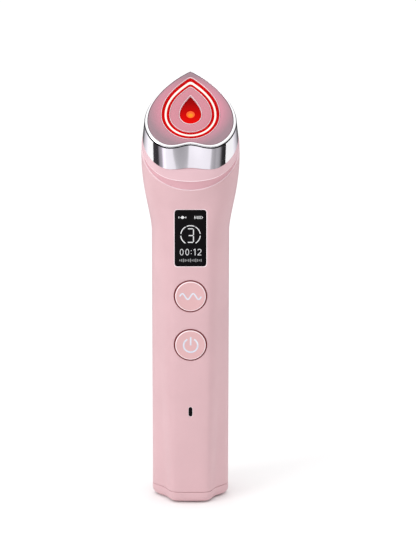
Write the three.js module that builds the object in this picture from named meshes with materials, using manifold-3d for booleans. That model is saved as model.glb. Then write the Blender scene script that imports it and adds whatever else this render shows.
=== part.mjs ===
// Heart-headed facial light-therapy wand, built as the parts it comes apart into.
// Frame: millimetres, +Z up the handle, the keys face -Y, origin under the handle's axis on the
// surface that the wand stands on.
import * as THREE from "three";
import { mergeVertices } from "three/addons/utils/BufferGeometryUtils.js";
import Module from "manifold-3d";

const wasm = await Module();
wasm.setup();

// ---------------------------------------------------------------- driving dimensions, mm

const WALL = 1.8; // shell wall
const GAP = 0.12; // between fixed neighbours
const HANDLE_HALF_WIDTH = 16.5;
const HANDLE_HALF_DEPTH = 14.5;
const NECK_HALF_WIDTH = 20.8;
const HEAD_HALF_WIDTH = 19.3;

// A cross-section is named by the height of its front point. Sections are level up the handle,
// lean forward through the neck, and stay parallel to the face above it.
const BEND_START = 118;
const SWELL_START = 131.5; // the front stays flat up to here, past the display
const SHELL_TOP = 139.3; // top edge of the two handle shells
const SEAM = 140.4; // where the neck starts to open into the heart
const COLLAR_LOW = 143.4;
const COLLAR_TOP = 148.6;
const FACE = 159;
const FACE_TILT = THREE.MathUtils.degToRad(43);
const FACE_FRONT_Y = -21.5;
const FACE_BACK_Y = 7.4;

const BASE_TOP = 5; // seam between the base cap and the shells
const BASE_LOW = 0.5; // the rubber foot stands this much proud of the cap

const DISPLAY = { z: 118.4, width: 13.4, height: 24.6, corner: 1.2 };
const MODE_KEY_Z = 93.1;
const POWER_KEY_Z = 71.6;
const KEY = { hole: 7.05, cap: 6.6, flange: 7.6, pocket: 7.9, proud: 0.3 };
const INDICATOR = { z: 41.7, width: 1.5, height: 4.1 };

const BOARD = { front: -8.2, back: -7, halfWidth: 9.2, low: 34, high: 134 };
const BOARD_SCREW_Z = [52, 82.35];
const CELL = { y: 3, radius: 8, low: 16, high: 66 };
const MOTOR = { y: 4.5, radius: 5, low: 104, high: 121 };
const USB = { y: 6.2, halfWidth: 4.47, halfHeight: 1.63 };

const QUARTER_STEPS = 10; // points on each quarter of a lofted section
const ROUND_SEGMENTS = 24;

// ---------------------------------------------------------------- finishes

const finish = (color, roughness, metalness = 0) =>
  new THREE.MeshStandardMaterial({ color, roughness, metalness });
const PINK = finish(0xe3bcc4, 0.5);
const PALE_PINK = finish(0xe6c4cb, 0.5);
const SEAL_PINK = finish(0xd99aa9, 0.7);
const KEY_PINK = finish(0xe0adb0, 0.45);
const CHROME = finish(0xd8d8dc, 0.08, 1);
const PLATE_PINK = finish(0xc98a9a, 0.2);
const RED_LENS = finish(0xd60505, 0.25);
const WHITE_LIGHT = finish(0xffffff, 0.3);
const AMBER = finish(0xff8c1a, 0.3);
const BLACK_GLASS = finish(0x0c0c0e, 0.1);
const BLACK = finish(0x1a1a1c, 0.6);
const WHITE_PLASTIC = finish(0xe8e6e2, 0.6);
const BOARD_GREEN = finish(0x1f5a36, 0.5);
const CELL_WRAP = finish(0x3b6fae, 0.4);
const STEEL = finish(0xb4b6b8, 0.3, 1);
const BRASS = finish(0xc9a24a, 0.35, 1);
const RED_WIRE = finish(0xb3202a, 0.5);
const FLEX_AMBER = finish(0xb5702a, 0.4);

// ---------------------------------------------------------------- solids

// A closed mesh geometry as a solid for cutting and joining.
function solid(geometry) {
  const bare = geometry.clone();
  bare.deleteAttribute("normal");
  bare.deleteAttribute("uv");
  const merged = mergeVertices(bare, 1e-4);
  return new wasm.Manifold(
    new wasm.Mesh({
      numProp: 3,
      vertProperties: merged.attributes.position.array,
      triVerts: new Uint32Array(merged.index.array),
    }),
  );
}

function geometryOf(manifold) {
  const made = manifold.getMesh();
  return new THREE.BufferGeometry()
    .setAttribute("position", new THREE.BufferAttribute(made.vertProperties, 3))
    .setIndex(new THREE.BufferAttribute(made.triVerts, 1));
}

const join = (first, ...rest) => rest.reduce((a, b) => a.add(b), first);
const cut = (first, ...rest) => rest.reduce((a, b) => a.subtract(b), first);

// A closed skin through rings of points that run the same way round, with a fan over each end.
function loft(rings) {
  const count = rings[0].length;
  const middles = [rings[0], rings.at(-1)].map((ring) =>
    ring
      .reduce((sum, p) => sum.add(p), new THREE.Vector3())
      .divideScalar(count),
  );
  const points = [...rings.flat(), ...middles];
  const index = [];
  const last = (rings.length - 1) * count;
  for (let j = 0; j < count; j++) {
    const next = (j + 1) % count;
    for (let low = 0; low < last; low += count) {
      const high = low + count;
      index.push(low + j, low + next, high + next);
      index.push(low + j, high + next, high + j);
    }
    index.push(points.length - 2, next, j);
    index.push(points.length - 1, last + j, last + next);
  }
  return new THREE.BufferGeometry().setFromPoints(points).setIndex(index);
}

function block([x0, x1], [y0, y1], [z0, z1]) {
  const box = new THREE.BoxGeometry(x1 - x0, y1 - y0, z1 - z0);
  return solid(box.translate((x0 + x1) / 2, (y0 + y1) / 2, (z0 + z1) / 2));
}

// A shape drawn in x and y, as a prism from one height to another.
function prism(shape, low, high, curveSegments = 12) {
  const options = { depth: high - low, bevelEnabled: false, curveSegments };
  return solid(
    new THREE.ExtrudeGeometry(shape, options).translate(0, 0, low),
  );
}

// A profile of [radius, height] corners turned about an upright axis through (x, y).
function turned(profile, x = 0, y = 0, segments = ROUND_SEGMENTS) {
  const corners = profile.map(([r, h]) => new THREE.Vector2(r, h));
  const lathe = new THREE.LatheGeometry(corners, segments);
  return solid(lathe.rotateX(Math.PI / 2).translate(x, y, 0));
}

const rod = (radius, low, high, x = 0, y = 0, segments = ROUND_SEGMENTS) =>
  turned(
    [
      [0, low],
      [radius, low],
      [radius, high],
      [0, high],
    ],
    x,
    y,
    segments,
  );

// Turns a solid made along +Z so that it runs along +Y, and lifts it to height z.
const facingKeys = (made, z) =>
  solid(geometryOf(made).rotateX(-Math.PI / 2).translate(0, 0, z));

function slotShape(halfWidth, halfHeight, corner, x = 0, y = 0) {
  const shape = new THREE.Shape();
  const right = x + halfWidth;
  const left = x - halfWidth;
  const top = y + halfHeight;
  const low = y - halfHeight;
  shape.moveTo(right - corner, low);
  shape.absarc(right - corner, low + corner, corner, -Math.PI / 2, 0);
  shape.absarc(right - corner, top - corner, corner, 0, Math.PI / 2);
  shape.absarc(left + corner, top - corner, corner, Math.PI / 2, Math.PI);
  shape.absarc(left + corner, low + corner, corner, Math.PI, 1.5 * Math.PI);
  shape.closePath();
  return shape;
}

function tube(points, radius, steps) {
  const path = new THREE.CatmullRomCurve3(
    points.map((p) => new THREE.Vector3(...p)),
  );
  const section = new THREE.Shape().absarc(0, 0, radius, 0, 2 * Math.PI);
  const options = { extrudePath: path, steps, curveSegments: 4 };
  return solid(new THREE.ExtrudeGeometry(section, options));
}

// ---------------------------------------------------------------- the wand's outer sweep

const ease = (value, from, to) => THREE.MathUtils.smoothstep(value, from, to);
const mix = THREE.MathUtils.lerp;
const share = (value, from, to) =>
  THREE.MathUtils.clamp((value - from) / (to - from), 0, 1);

// Quarter outlines in unit size. A front quarter runs from the middle of the front (0, 0) to the
// widest point (1, 1); a back quarter from the widest point (1, 0) to the middle of the back.
function quarter(start, ...pieces) {
  const path = new THREE.Path();
  path.moveTo(...start);
  pieces.forEach((piece) => path.bezierCurveTo(...piece.flat()));
  return path.getSpacedPoints(QUARTER_STEPS);
}
const LOBED_FRONT = quarter(
  [0, 0],
  [[0.2, 0], [0.33, 0], [0.44, 0.035]],
  [[0.54, 0.07], [0.59, 0.275], [0.66, 0.43]],
  [[0.73, 0.585], [1, 0.72], [1, 1]],
);
const ROUND_FRONT = quarter(
  [0, 0],
  [[0.15, 0], [0.3, 0.008], [0.44, 0.035]],
  [[0.67, 0.08], [1, 0.46], [1, 1]],
);
const OVAL_FRONT = quarter([0, 0], [[0.55, 0], [1, 0.45], [1, 1]]);
const WHOLE_FRONT = quarter(
  [0, 0],
  [[0.16, 0], [0.26, 0], [0.45, 0]],
  [[0.72, 0], [1, 0.45], [1, 1]],
);
const HEART_FRONT = quarter(
  [0, 0.125],
  [[0.16, 0.115], [0.26, 0], [0.45, 0]],
  [[0.72, 0], [1, 0.45], [1, 1]],
);
const HEART_BACK = quarter(
  [1, 0],
  [[1, 0.4], [0.45, 0.8], [0.08, 0.965]],
  [[0.045, 0.985], [0.02, 1], [0, 1]],
);
const mirrored = (points) =>
  points.map((p) => new THREE.Vector2(p.x, 1 - p.y)).reverse();
const LOBED_BACK = mirrored(LOBED_FRONT);
const ROUND_BACK = mirrored(ROUND_FRONT);
const OVAL_BACK = mirrored(OVAL_FRONT);

// Each outline in turn is mixed into the ones before it.
const morph = (first, ...others) =>
  others.reduce(
    (points, [next, amount]) => points.map((p, i) => p.clone().lerp(next[i], amount)),
    first,
  );

// The section whose front point is at this height.
function section(height) {
  const tilt = FACE_TILT * ease(height, BEND_START, SEAM);
  const reach = share(height, SWELL_START, FACE) ** 1.1;
  const front = mix(-HANDLE_HALF_DEPTH, FACE_FRONT_Y, reach);
  const headShare = share(height, SEAM, FACE);
  const back = mix(HANDLE_HALF_DEPTH, FACE_BACK_Y, headShare ** 1.6);
  const neckWidth = mix(
    HANDLE_HALF_WIDTH,
    NECK_HALF_WIDTH,
    ease(height, BEND_START + 0.5, SEAM - 3.2),
  );
  return {
    height,
    tilt,
    front,
    length: (back - front) / Math.cos(tilt),
    halfWidth: mix(neckWidth, HEAD_HALF_WIDTH, ease(height, SEAM - 1, FACE)),
    widest: mix(0.5 + 0.02 * ease(height, 125, SEAM), 0.34, headShare ** 0.45),
    roundness: mix(0.6 * ease(height, 5, 70), 1, ease(height, 80, 128)),
    ovalness: ease(height, 128, SEAM),
    heartness: headShare ** 0.75,
    cleft: height > COLLAR_TOP ? mix(0.5, 1, share(height, COLLAR_TOP, FACE)) : 0,
  };
}

// The section's outline as [across, up its plane], pulled inwards by inset. On the heart the
// pull fades towards the point, where it keeps only the share tip.
function flatOutline(s, inset, tip = 1 - 0.7 * s.heartness) {
  const frontQuarter = morph(
    LOBED_FRONT,
    [ROUND_FRONT, s.roundness],
    [OVAL_FRONT, s.ovalness],
    [WHOLE_FRONT, s.heartness],
    [HEART_FRONT, s.cleft],
  );
  const backQuarter = morph(
    LOBED_BACK,
    [ROUND_BACK, s.roundness],
    [OVAL_BACK, s.ovalness],
    [HEART_BACK, s.heartness],
  );
  const toWidest = s.length * s.widest;
  const beyond = s.length - toWidest - inset * tip;
  const fade = 0.6 * s.heartness;
  const side = [
    ...frontQuarter.map(({ x, y }) => [
      x * (s.halfWidth - inset),
      y * (toWidest - inset) + inset,
    ]),
    ...backQuarter
      .slice(1)
      .map(({ x, y }) => [x * (s.halfWidth - inset * (1 - fade * y)), toWidest + y * beyond]),
  ];
  const otherSide = side.slice(1, -1).reverse();
  return [...side, ...otherSide.map(([x, q]) => [-x, q])];
}

// The same outline as 3-D points, moved along its own normal.
function outline(height, inset = 0, along = 0) {
  const s = section(height);
  const [cos, sin] = [Math.cos(s.tilt), Math.sin(s.tilt)];
  return flatOutline(s, inset).map(
    ([x, q]) =>
      new THREE.Vector3(
        x,
        s.front + q * cos - along * sin,
        s.height + q * sin + along * cos,
      ),
  );
}

const sweep = (heights, inset = 0) =>
  solid(loft(heights.map((h) => outline(h, inset))));

// ---------------------------------------------------------------- the head's own frame

// x across the face, y up the face from the lobes to the tip, z out of the face.
const head = new THREE.Group();
head.position.set(0, FACE_FRONT_Y, FACE);
head.rotation.x = FACE_TILT;
head.updateMatrixWorld();

// A solid given in the wand's frame, in the head's frame.
const toHead = (made) => {
  const inverse = head.matrixWorld.clone().invert();
  return solid(geometryOf(made).applyMatrix4(inverse));
};

// How far the section of this height lies from the face, along the face's normal.
const depthAt = (height) =>
  (height - FACE) * Math.cos(FACE_TILT) -
  (section(height).front - FACE_FRONT_Y) * Math.sin(FACE_TILT);

// The heart of the face, pulled in by inset.
const heartShape = (inset, tip) =>
  new THREE.Shape(
    flatOutline(section(FACE), inset, tip).map(([x, y]) => new THREE.Vector2(x, y)),
  );

// A teardrop: a half circle below, drawn up to a point at tip.
const DROP_CENTRE = 16.8;
function dropShape(radius, tip) {
  const rise = tip - DROP_CENTRE;
  const y = (part) => DROP_CENTRE + part * rise;
  const shape = new THREE.Shape();
  shape.absarc(0, DROP_CENTRE, radius, Math.PI, 2 * Math.PI);
  shape.bezierCurveTo(radius, y(0.36), 0.58 * radius, y(0.65), 0, tip);
  shape.bezierCurveTo(
    -0.58 * radius,
    y(0.65),
    -radius,
    y(0.36),
    -radius,
    DROP_CENTRE,
  );
  return shape;
}
const LIGHT_OUTER = { radius: 12, tip: 36.2 };
const CORE_OUTER = { radius: 10.85, tip: 34.5 };
const CORE_INNER = { radius: 9.95, tip: 33 };
const LIGHT_INNER = { radius: 8.95, tip: 31.8 };
const WINDOW = { radius: 4.45, tip: 26.6 };
const drop = ({ radius, tip }, grow, low, high) =>
  prism(dropShape(radius + grow, tip + 1.5 * grow), low, high, 11);

// ---------------------------------------------------------------- handle shells and base

const SHELL_HEIGHTS = [
  BASE_TOP + GAP, 24, 46, 70, 95, BEND_START, 121, 124, 127, 130, 133, 136, SHELL_TOP,
];
const shellWall = cut(
  sweep(SHELL_HEIGHTS),
  sweep([BASE_TOP - 1, ...SHELL_HEIGHTS.slice(1), SHELL_TOP + 2], WALL),
);
const FAR = 60;
const frontHalf = block([-FAR, FAR], [-FAR, -GAP / 2], [-FAR, 240]);
const rearHalf = block([-FAR, FAR], [GAP / 2, FAR], [-FAR, 240]);

const innerFace = -HANDLE_HALF_DEPTH + WALL;

const keyHole = (z) =>
  facingKeys(
    join(
      rod(KEY.hole, -HANDLE_HALF_DEPTH - 1, innerFace + 0.1),
      rod(KEY.pocket, innerFace, BOARD.front),
    ),
    z,
  );
const boardPost = (z) =>
  facingKeys(
    cut(
      rod(2, innerFace - 0.4, BOARD.front - GAP, 0, 0, 16),
      rod(0.7, innerFace + 0.6, BOARD.front, 0, 0, 12),
    ),
    z,
  );
const displayHole = facingKeys(
  join(
    prism(
      slotShape(DISPLAY.width / 2, DISPLAY.height / 2, DISPLAY.corner),
      -HANDLE_HALF_DEPTH - 1,
      innerFace + 0.1,
      4,
    ),
    prism(slotShape(7.8, 14.4, 0.5), innerFace, BOARD.front, 1),
  ),
  DISPLAY.z,
);
const indicatorHole = facingKeys(
  prism(
    slotShape(
      INDICATOR.width / 2 + 0.1,
      INDICATOR.height / 2 + 0.1,
      INDICATOR.width / 2 + 0.09,
    ),
    -HANDLE_HALF_DEPTH - 1,
    innerFace + 1,
    4,
  ),
  INDICATOR.z,
);
const frontShell = join(
  cut(
    shellWall.intersect(frontHalf),
    displayHole,
    keyHole(MODE_KEY_Z),
    keyHole(POWER_KEY_Z),
    indicatorHole,
  ),
  ...BOARD_SCREW_Z.map(boardPost),
);

// The rear half carries a saddle of two ribs for the motor's rubber sleeve.
const saddleRib = (low) =>
  cut(
    block([-7, 7], [5, HANDLE_HALF_DEPTH - WALL + 0.4], [low, low + 2]),
    rod(MOTOR.radius + 1.6, low - 1, low + 3, 0, MOTOR.y),
  );
const rearShell = join(
  shellWall.intersect(rearHalf),
  saddleRib(MOTOR.low + 2),
  saddleRib(MOTOR.high - 5),
);

// The cap's lower edge is rounded over; each ring is [height above its underside, inset].
const CAP_EDGE = [[0, 2.6], [0.35, 1.4], [1, 0.55], [2, 0.1], [2.8, 0]];
const capRing = (z, inset) =>
  outline(0, inset).map((p) => new THREE.Vector3(p.x, p.y, z));
const capBody = solid(
  loft([
    ...CAP_EDGE.map(([up, inset]) => capRing(BASE_LOW + up, inset)),
    capRing(BASE_TOP, 0),
  ]),
);
const capLip = cut(
  solid(loft([capRing(BASE_TOP - 1, 2), capRing(BASE_TOP + 4.5, 2)])),
  solid(loft([capRing(2.4, 3.4), capRing(BASE_TOP + 6, 3.4)])),
);
const capHollow = solid(loft([capRing(2.4, 3.4), capRing(BASE_TOP + 1, 3.4)]));
const FOOT_INSET = 2.9;
const FOOT_TOP = 0.95;
const footRecess = solid(
  loft([capRing(-1, FOOT_INSET - GAP), capRing(FOOT_TOP + 0.1, FOOT_INSET - GAP)]),
);
const CAP_SCREW = { x: 9, y: -2.5, seat: 2.75 };
const capBoss = (side) => rod(2.9, 1.5, BASE_TOP, side * CAP_SCREW.x, CAP_SCREW.y, 16);
const capScrewHole = (side) =>
  join(
    rod(1.15, 0, BASE_TOP + 1, side * CAP_SCREW.x, CAP_SCREW.y, 14),
    rod(2.1, 0, CAP_SCREW.seat, side * CAP_SCREW.x, CAP_SCREW.y, 16),
  );
const usbOpening = (grow, low, high) =>
  prism(
    slotShape(
      USB.halfWidth + grow,
      USB.halfHeight + grow,
      USB.halfHeight + grow - 0.05,
      0,
      USB.y,
    ),
    low,
    high,
    5,
  );
const baseCap = cut(
  join(cut(capBody, capHollow), capLip, capBoss(-1), capBoss(1)),
  footRecess,
  usbOpening(0.3, -1, 4),
  capScrewHole(-1),
  capScrewHole(1),
);
const baseFoot = cut(
  solid(loft([capRing(0, FOOT_INSET + 0.3), capRing(0.3, FOOT_INSET), capRing(FOOT_TOP, FOOT_INSET)])),
  usbOpening(1.2, -1, 3),
);

// ---------------------------------------------------------------- keys, display, indicator

const keyCap = (z) =>
  facingKeys(
    turned([
      [0, -HANDLE_HALF_DEPTH - KEY.proud],
      [KEY.cap - 0.5, -HANDLE_HALF_DEPTH - KEY.proud],
      [KEY.cap, -HANDLE_HALF_DEPTH + 0.1],
      [KEY.cap, innerFace + 0.15],
      [KEY.flange, innerFace + 0.15],
      [KEY.flange, innerFace + 0.95],
      [0, innerFace + 0.95],
    ]),
    z,
  );
const SWITCH_FACE = -11;
const plunger = (z) => facingKeys(rod(1.6, -11.7, -10.6, 0, 0, 16), z);
const tactSwitch = (z) =>
  cut(
    block([-3, 3], [SWITCH_FACE, BOARD.front - GAP], [z - 3, z + 3]),
    facingKeys(rod(1.8, SWITCH_FACE - 1, -9.9, 0, 0, 16), z),
  );

const displayWindow = facingKeys(
  prism(
    slotShape(
      DISPLAY.width / 2 - 0.1,
      DISPLAY.height / 2 - 0.1,
      DISPLAY.corner - 0.1,
    ),
    -HANDLE_HALF_DEPTH + 0.45,
    innerFace,
    4,
  ),
  DISPLAY.z,
);
const displayModule = block(
  [-7.5, 7.5],
  [innerFace + GAP, -10.4],
  [DISPLAY.z - 14, DISPLAY.z + 14],
);
const indicatorLens = facingKeys(
  prism(
    slotShape(
      INDICATOR.width / 2,
      INDICATOR.height / 2,
      INDICATOR.width / 2 - 0.01,
    ),
    -HANDLE_HALF_DEPTH + 0.05,
    -9.2,
    4,
  ),
  INDICATOR.z,
);
const indicatorLed = block(
  [-0.8, 0.8],
  [-8.9, BOARD.front - 0.05],
  [INDICATOR.z - 0.5, INDICATOR.z + 0.5],
);

// ---------------------------------------------------------------- electronics

const mainBoard = cut(
  block([-BOARD.halfWidth, BOARD.halfWidth], [BOARD.front, BOARD.back], [BOARD.low, BOARD.high]),
  ...BOARD_SCREW_Z.map((z) => facingKeys(rod(1.1, -9, -6, 0, 0, 12), z)),
);
const processor = block([-3.5, 3.5], [-9.1, BOARD.front - 0.05], [57.5, 64.5]);
const transformer = block([-4.5, 4.5], [BOARD.back + 0.05, -1.4], [88, 97]);
const batteryPlug = block([-3.8, 3.8], [BOARD.back + 0.05, -3], [71.5, 76]);
const headPlug = block([-4.2, 4.2], [BOARD.back + 0.05, -5.2], [126, 130]);

// A pan-head screw along +Z: the head's underside is at low, the thread runs down from it.
const screw = (low, length, x = 0, y = 0) =>
  turned(
    [
      [0, low - length],
      [0.65, low - length],
      [0.65, low],
      [1.7, low],
      [1.7, low + 0.8],
      [1.1, low + 1.1],
      [0, low + 1.1],
    ],
    x,
    y,
    14,
  );
const boardScrew = (z) => facingKeys(screw(BOARD.back + 0.05, 3.6), z);
// The cap's screws point upwards, with their heads under the foot.
const capScrew = (side) => {
  const upright = screw(0, 9.5);
  return solid(
    geometryOf(upright)
      .rotateX(Math.PI)
      .translate(side * CAP_SCREW.x, CAP_SCREW.y, CAP_SCREW.seat - 0.05),
  );
};

const chargeBoard = block([-5.8, 5.8], [1.2, 9.8], [8.15, 9.15]);
const usbSocket = cut(usbOpening(0, 1.1, 8.05), usbOpening(-0.3, 0, 7));
const usbTongue = block(
  [-3.3, 3.3],
  [USB.y - 0.35, USB.y + 0.35],
  [2.2, 6.9],
);

// ---------------------------------------------------------------- battery

const CRADLE = { inner: 8.2, outer: 9.4, low: 13.6, high: 68.6, end: 1.6 };
const cradle = (() => {
  const trough = cut(
    rod(CRADLE.outer, CRADLE.low, CRADLE.high, 0, CELL.y),
    rod(CRADLE.inner, CRADLE.low + CRADLE.end, CRADLE.high - CRADLE.end, 0, CELL.y),
    block([-FAR, FAR], [-FAR, CELL.y - 3], [0, 240]),
  );
  const foot = (side) =>
    cut(
      rod(2, BASE_TOP + GAP, CRADLE.low + 0.8, side * CAP_SCREW.x, CAP_SCREW.y, 16),
      rod(0.75, 0, CRADLE.low + 1, side * CAP_SCREW.x, CAP_SCREW.y, 12),
    );
  const shelf = cut(
    block([-10.8, 10.8], [CAP_SCREW.y - 2, 4], [CRADLE.low - 1, CRADLE.low + 0.8]),
    ...[-1, 1].map((side) =>
      rod(0.75, 9, CRADLE.low + 1, side * CAP_SCREW.x, CAP_SCREW.y, 12),
    ),
    block([1.2, 6.4], [-FAR, 0], [0, 240]),
  );
  return join(trough, shelf, foot(-1), foot(1));
})();
const batteryCell = turned(
  [
    [0, CELL.low],
    [CELL.radius - 0.4, CELL.low],
    [CELL.radius, CELL.low + 0.5],
    [CELL.radius, CELL.high - 1.6],
    [CELL.radius - 0.5, CELL.high - 1],
    [3, CELL.high - 1],
    [3, CELL.high],
    [0, CELL.high],
  ],
  0,
  CELL.y,
);
const cellTab = (z, front) => block([-3, 1.9], [front, CELL.y + 3], [z, z + 0.3]);

// ---------------------------------------------------------------- vibration motor

const motorCan = cut(
  turned(
    [
      [0, MOTOR.low],
      [MOTOR.radius, MOTOR.low],
      [MOTOR.radius, MOTOR.high - 1.2],
      [MOTOR.radius - 0.5, MOTOR.high - 0.8],
      [2, MOTOR.high - 0.8],
      [2, MOTOR.high],
      [0, MOTOR.high],
    ],
    0,
    MOTOR.y,
  ),
  rod(0.83, MOTOR.high - 6, MOTOR.high + 1, 0, MOTOR.y, 14),
);
const motorSleeve = cut(
  rod(MOTOR.radius + 1.4, MOTOR.low + 1, MOTOR.high - 2, 0, MOTOR.y),
  rod(MOTOR.radius + 0.1, MOTOR.low, MOTOR.high, 0, MOTOR.y),
);
const motorShaft = rod(0.75, MOTOR.high - 5.5, MOTOR.high + 8, 0, MOTOR.y, 14);
const motorWeight = cut(
  join(
    rod(1.9, MOTOR.high + 1.5, MOTOR.high + 7.5, 0, MOTOR.y, 20),
    cut(
      rod(4.6, MOTOR.high + 1.5, MOTOR.high + 7.5, 0, MOTOR.y),
      block([-FAR, FAR], [-FAR, MOTOR.y], [0, 240]),
    ),
  ),
  rod(0.8, MOTOR.high, MOTOR.high + 9, 0, MOTOR.y, 14),
);

// ---------------------------------------------------------------- neck

const COLLAR_FACE = depthAt(COLLAR_TOP);
const SPIGOT = { x: 14, y: 15, centre: 13.5, wall: 1.6, low: -20, top: COLLAR_FACE - 0.5 };
const ellipse = (grow, low, high) => {
  const shape = new THREE.Shape();
  shape.absellipse(0, SPIGOT.centre, SPIGOT.x + grow, SPIGOT.y + grow, 0, 2 * Math.PI);
  return prism(shape, low, high, 20);
};
const HEAD_SCREW = { x: 13.6, y: 14 };
const headScrewHole = (side, radius, low, high) =>
  rod(radius, low, high, side * HEAD_SCREW.x, HEAD_SCREW.y, 12);
const neckCollar = cut(
  join(toHead(sweep([COLLAR_LOW, 146, COLLAR_TOP])), ellipse(0, SPIGOT.low, SPIGOT.top)),
  ellipse(-SPIGOT.wall, SPIGOT.low - 1, 0),
  headScrewHole(-1, 0.75, -15, 0),
  headScrewHole(1, 0.75, -15, 0),
);
const SEAL_INSET = 0.7;
const neckSeal = cut(
  toHead(sweep([SHELL_TOP + 0.15, SEAM, COLLAR_LOW - 0.15], SEAL_INSET)),
  ellipse(GAP, -24, 0),
);

// ---------------------------------------------------------------- head

// The electrode band's outer wall is ruled from the collar straight up to the face, and its rim
// turns over. The wall is thickest round the lobes and thins towards the heart's point.
const BAND_WALL = 1.35;
const PLATE_BACK = -2.2;
const PLATE_FACE = -0.1;
const bandOuter = solid(
  loft([
    outline(COLLAR_TOP + 0.2),
    outline(FACE, 0, -0.9),
    outline(FACE, 0.3, -0.25),
    outline(FACE, 1.05, 0),
  ]),
);
const bandInner = solid(
  loft([
    outline(COLLAR_TOP - 1, BAND_WALL),
    outline(FACE, BAND_WALL, PLATE_BACK - 0.15),
    outline(FACE, BAND_WALL, 1),
  ]),
);
const electrodeBand = toHead(cut(bandOuter, bandInner));

const outerPlate = cut(
  prism(heartShape(BAND_WALL + GAP), PLATE_BACK, PLATE_FACE),
  drop(LIGHT_OUTER, GAP, -5, 5),
);
const lightRing = cut(
  drop(LIGHT_OUTER, 0, PLATE_BACK, PLATE_FACE - 0.2),
  drop(LIGHT_INNER, 0, -5, 5),
  cut(drop(CORE_OUTER, 0.06, -1, 5), drop(CORE_INNER, -0.06, -2, 6)),
);
const lightCore = cut(
  drop(CORE_OUTER, 0, -0.95, PLATE_FACE),
  drop(CORE_INNER, 0, -5, 5),
);
const innerPlate = cut(
  drop(LIGHT_INNER, -GAP, PLATE_BACK, PLATE_FACE),
  drop(WINDOW, GAP, -5, 5),
);
const LED_Y = 17.5;
const centreWindow = cut(
  drop(WINDOW, 0, PLATE_BACK, PLATE_FACE - 0.8),
  rod(2.2, -5, 5, 0, LED_Y, 20),
);
const centreLed = turned(
  [
    [0, -5.4],
    [2.05, -5.4],
    [2.05, -1.4],
    [1.6, -1],
    [0.9, -0.7],
    [0, -0.6],
  ],
  0,
  LED_Y,
  20,
);

const FRAME_FLOOR = COLLAR_FACE + GAP;
const FRAME_INSET = BAND_WALL + 0.85;
const CONTACT_Y = [19.5, 22.5];
const contactNotch = (side) =>
  block([side > 0 ? 10 : -20, side > 0 ? 20 : -10], [CONTACT_Y[0] - 0.3, CONTACT_Y[1] + 0.3], [-6, 0]);
const headFrame = cut(
  prism(heartShape(FRAME_INSET, 1.3), FRAME_FLOOR, PLATE_BACK - GAP),
  prism(heartShape(FRAME_INSET + 1.2, 1.3), FRAME_FLOOR + 1.6, 0),
  block([-3.6, 3.6], [9, 14.5], [-12, -5]),
  contactNotch(-1),
  contactNotch(1),
  headScrewHole(-1, 1, -12, 0),
  headScrewHole(1, 1, -12, 0),
);
const headScrew = (side) => screw(FRAME_FLOOR + 1.65, 5, side * HEAD_SCREW.x, HEAD_SCREW.y);
const ledBoard = cut(
  prism(heartShape(FRAME_INSET + 1.6, 1.3), -6.6, -5.6),
  headScrewHole(-1, 2.2, -8, 0),
  headScrewHole(1, 2.2, -8, 0),
);
// Small red lamps under the light ring, spread round its middle line.
const LAMPS = 6;
function ringLamp(number) {
  const line = dropShape(10.2, 31.5).getSpacedPoints(LAMPS);
  const { x, y } = line[number];
  return block([x - 0.9, x + 0.9], [y - 0.7, y + 0.7], [-5.5, -4.7]);
}
// Leaf springs that carry the skin current from the board to the band.
const bandContact = (side) => {
  const leaf = new THREE.Shape(
    [[11, -5.5], [13, -5.5], [15.2, -3.2], [14.9, -3.1], [12.8, -5.2], [11, -5.2]].map(
      ([x, z]) => new THREE.Vector2(side * x, z),
    ),
  );
  const strip = new THREE.ExtrudeGeometry(leaf, { depth: 3, bevelEnabled: false });
  return solid(strip.rotateX(Math.PI / 2).translate(0, CONTACT_Y[1], 0));
};

// ---------------------------------------------------------------- leads

// The flat lead from the lamp board, through the frame's slot and the neck, to the main board.
const FLEX = [[-7.2, 161.6], [-5.2, 158.6], [-3.6, 152], [-3.4, 143], [-4.2, 136], [-5.6, 131.6]];
const headFlex = (() => {
  const line = new THREE.SplineCurve(FLEX.map((p) => new THREE.Vector2(...p))).getPoints(14);
  const side = (offset) =>
    line.map((p, i) => {
      const before = line[Math.max(i - 1, 0)];
      const after = line[Math.min(i + 1, line.length - 1)];
      const along = after.clone().sub(before).normalize();
      return new THREE.Vector2(p.x - along.y * offset, p.y + along.x * offset);
    });
  const strip = new THREE.Shape([...side(-0.15), ...side(0.15).reverse()]);
  const made = new THREE.ExtrudeGeometry(strip, { depth: 6, bevelEnabled: false });
  // Drawn in (y, z), extruded across x.
  const turn = new THREE.Matrix4().makeBasis(
    new THREE.Vector3(0, 1, 0),
    new THREE.Vector3(0, 0, 1),
    new THREE.Vector3(1, 0, 0),
  );
  return solid(made.applyMatrix4(turn).translate(-3, 0, 0));
})();
const WIRE = 0.55;
const batteryLeads = {
  red: tube([[1.6, -2.4, 67.1], [1.6, -3.6, 68.6], [1.6, -4.6, 71.2]], WIRE, 6),
  black: tube([[-2.4, -5.8, 16.1], [-2.4, -5.9, 45], [-2.4, -5, 71.2]], WIRE, 10),
};
const chargeLead = (x) =>
  tube([[x, 0.4, 9.6], [x, -2.4, 11.6], [x, -5.6, 15.4], [x, -5.8, 24], [x, -6, 40]], WIRE, 14);

// ---------------------------------------------------------------- assembly

const wand = new THREE.Group();
wand.name = "facial_wand";
wand.add(head);

function add(parent, name, made, material) {
  const mesh = new THREE.Mesh(geometryOf(made), material);
  mesh.name = name;
  parent.add(mesh);
}

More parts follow.
